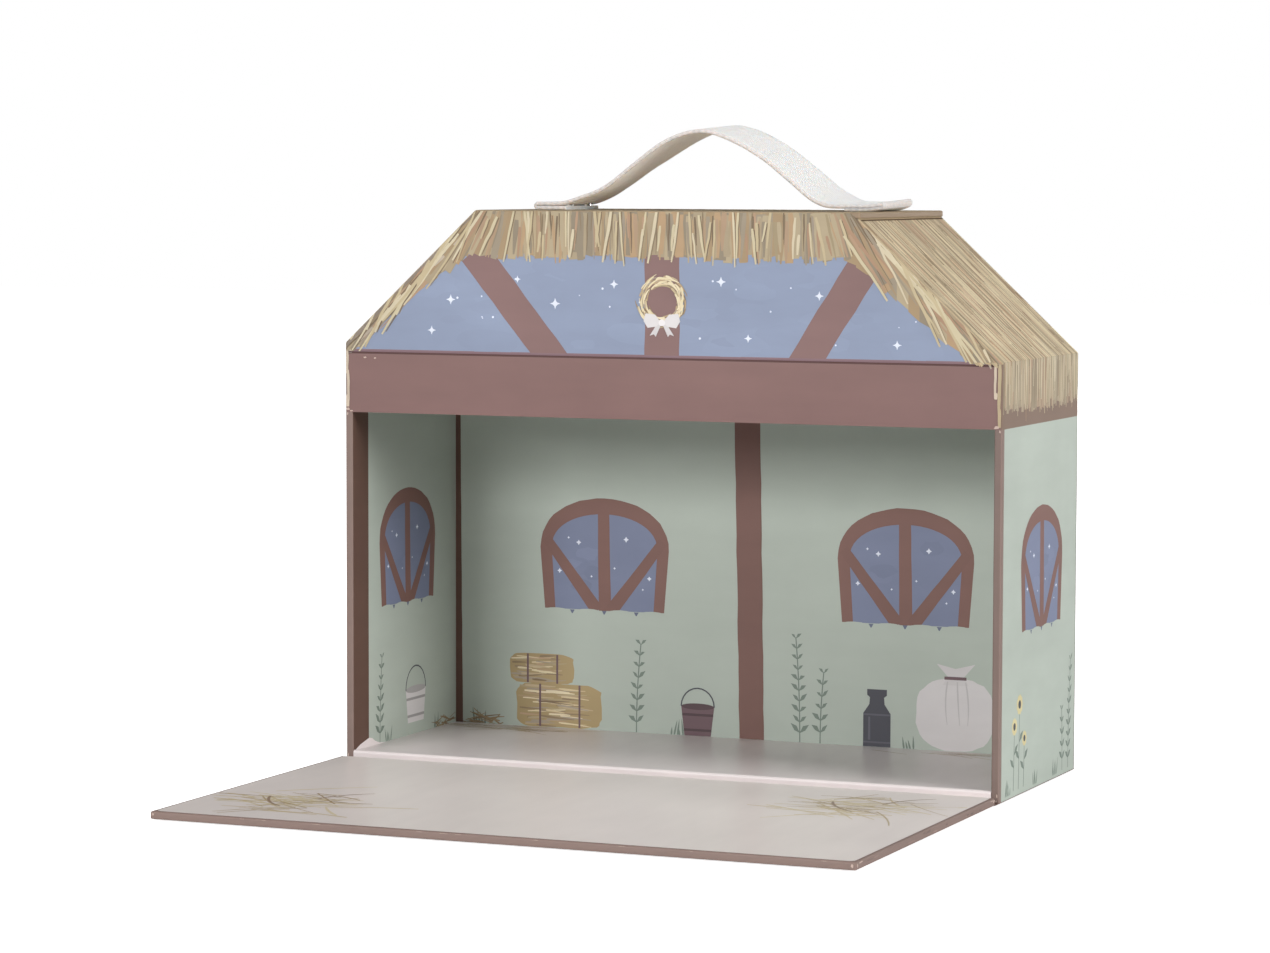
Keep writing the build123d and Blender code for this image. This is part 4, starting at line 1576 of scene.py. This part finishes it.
def soft_box(name, azimuth, elevation, width, height, power):
    """A soft box aimed at the stable, its direction in degrees and its size in metres."""
    light = bpy.data.lights.new(name, "AREA")
    light.shape = "RECTANGLE"
    light.size = width
    light.size_y = height
    light.energy = power
    obj = bpy.data.objects.new(name, light)
    bpy.context.collection.objects.link(obj)
    turn = radians(azimuth)
    rise = radians(elevation)
    away = Vector((cos(rise) * sin(turn), -cos(rise) * cos(turn), sin(rise)))
    obj.location = LIGHT_AIM + away * LIGHT_DISTANCE
    obj.rotation_euler = away.to_track_quat("Z", "Y").to_euler()
    obj.visible_camera = False


def floor_plane(name, level, glows):
    """A wide pale floor. One that glows is a little dimmer near the stable, so that its shadow shows."""
    mesh = bpy.data.meshes.new(name)
    corners = rectangle(-FLOOR_REACH, FLOOR_REACH, -FLOOR_REACH, FLOOR_REACH)
    mesh.from_pydata([(x, y, level) for x, y in corners], [], [(0, 1, 2, 3)])
    floor = bpy.data.objects.new(name, mesh)
    bpy.context.collection.objects.link(floor)
    make = Nodes(name)
    make.paint(make.plain(STUDIO_WHITE), make.ranged(make.noise(make.place, 3, 2), 0.99, 1.0))
    make.surface(Roughness=0.9)
    if glows:
        away = make.add("VectorMath", "LENGTH", Vector=make.place).outputs["Value"]
        glow = make.ranged(away, *FLOOR_GLOW, GLOW_REACH)
        make.surface(Emission_Color=(1, 1, 1, 1), Emission_Strength=glow)
    floor.data.materials.append(make.material)
    return floor


def studio():
    """Soft light, a floor that the camera sees, and one below it that gives the light back."""
    seen = floor_plane("studio_floor", FLOOR_LEVEL, True)
    seen.visible_diffuse = False
    seen.visible_glossy = False
    seen.visible_shadow = False
    bounce = floor_plane("studio_bounce", 2 * FLOOR_LEVEL, False)
    bounce.visible_camera = False
    world = bpy.data.worlds.new("daylight")
    bpy.context.scene.world = world
    world.use_nodes = True
    world.node_tree.nodes["Background"].inputs["Color"].default_value = (1, 1, 1, 1)
    world.cycles_visibility.diffuse = False
    world.cycles_visibility.glossy = False
    for box in SOFT_BOXES:
        soft_box(*box)
    bpy.context.scene.view_settings.view_transform = "Standard"


CAMERA_PLACE = (602.35, -1511.0, 239.5)
CAMERA_TURN = 22.807
CAMERA_TILT = 4.26
CAMERA_ROLL = 0.15
FOCAL_PIXELS = 4009.0
IMAGE_WIDTH = 1270


def camera():
    """The photograph's camera. Turn, tilt and roll are in degrees."""
    turn, tilt, roll = (radians(a) for a in (CAMERA_TURN, CAMERA_TILT, CAMERA_ROLL))
    data = bpy.data.cameras.new("photo_camera")
    data.sensor_fit = "HORIZONTAL"
    data.sensor_width = 36
    data.lens = FOCAL_PIXELS / IMAGE_WIDTH * data.sensor_width
    data.clip_end = 30
    obj = bpy.data.objects.new("photo_camera", data)
    bpy.context.collection.objects.link(obj)
    forward = Vector((-sin(turn) * cos(tilt), cos(turn) * cos(tilt), -sin(tilt)))
    level = Vector((cos(turn), sin(turn), 0))
    upright = level.cross(forward)
    right = level * cos(roll) + upright * sin(roll)
    up = upright * cos(roll) - level * sin(roll)
    matrix = obj.matrix_world.copy()
    for i in range(3):
        matrix[i][0] = right[i]
        matrix[i][1] = up[i]
        matrix[i][2] = -forward[i]
        matrix[i][3] = CAMERA_PLACE[i] * MM
    obj.matrix_world = matrix
    bpy.context.scene.camera = obj


# The whole scene

def finish_nodes():
    """Finishes of the CAD pieces that stay."""
    for subpart in frame["record"]["subparts"]:
        node = nodes[subpart["node"]]
        node.data.materials.clear()
        node.data.materials.append(MATERIALS.get(subpart["material_slot"], MATERIALS["brown_paper"]))
    nodes["gable_liner"].data.materials[0] = MATERIALS["room_paper"]


def papers():
    """Papers and covers of the case and door."""
    for side in (1, -1):
        side_sheet(side)
    face_plate("front_sheet", "front_print", FRONT, -1, LINTEL, front_colour, "front_paper")
    face_plate("back_sheet", "back_print", BACK, 1, PAPER, back_colour, "side_paper")
    lintel_roll()
    for side in (1, -1):
        edge_wrap(side)
    low, high = (-HALF_TOP, FRONT, PANEL_UNDER), (HALF_TOP, BACK, RIDGE)
    rolled_board("top_cover", "top_wrap", low, high, TOP_EDGE_RADIUS, STRAW_BASE, LIP_TAN,
                 "thatch_paper", "case")
    low, high = (-HALF_WIDTH, DOOR_FREE, 0), (HALF_WIDTH, DOOR_HINGE, DOOR_TOP - DOOR_COVER_SINK)
    rolled_board("door_cover", "door_wrap", low, high, DOOR_EDGE_RADIUS, EDGE_BROWN, EDGE_BROWN,
                 "brown_paper", "door")
    floor_sheet()
    gutter()
    door_lining()


def artwork():
    """Everything printed on the papers."""
    sky = gable_sky(FRONT_FACE, "gable_print", "front_paper")
    thatch = gable_thatch(FRONT_FACE, "front_straw", "front_paper", sky)
    wreath(thatch)
    front_trim(thatch)
    side_thatch(1)
    side_thatch(-1)
    top_thatch()
    room_back_art()
    for side in SIDES:
        room_side_art(side)
        floor_turn_up(side)
        outer_wall_art(side)
    straw_prints()
    worn_corners()
    back_sky = gable_sky(BACK_FACE, "back_gable_print", "side_paper")
    gable_thatch(BACK_FACE, "back_straw", "side_paper", back_sky)
    back_wall_art()


finish_nodes()
camera()
studio()
papers()
handle()
artwork()
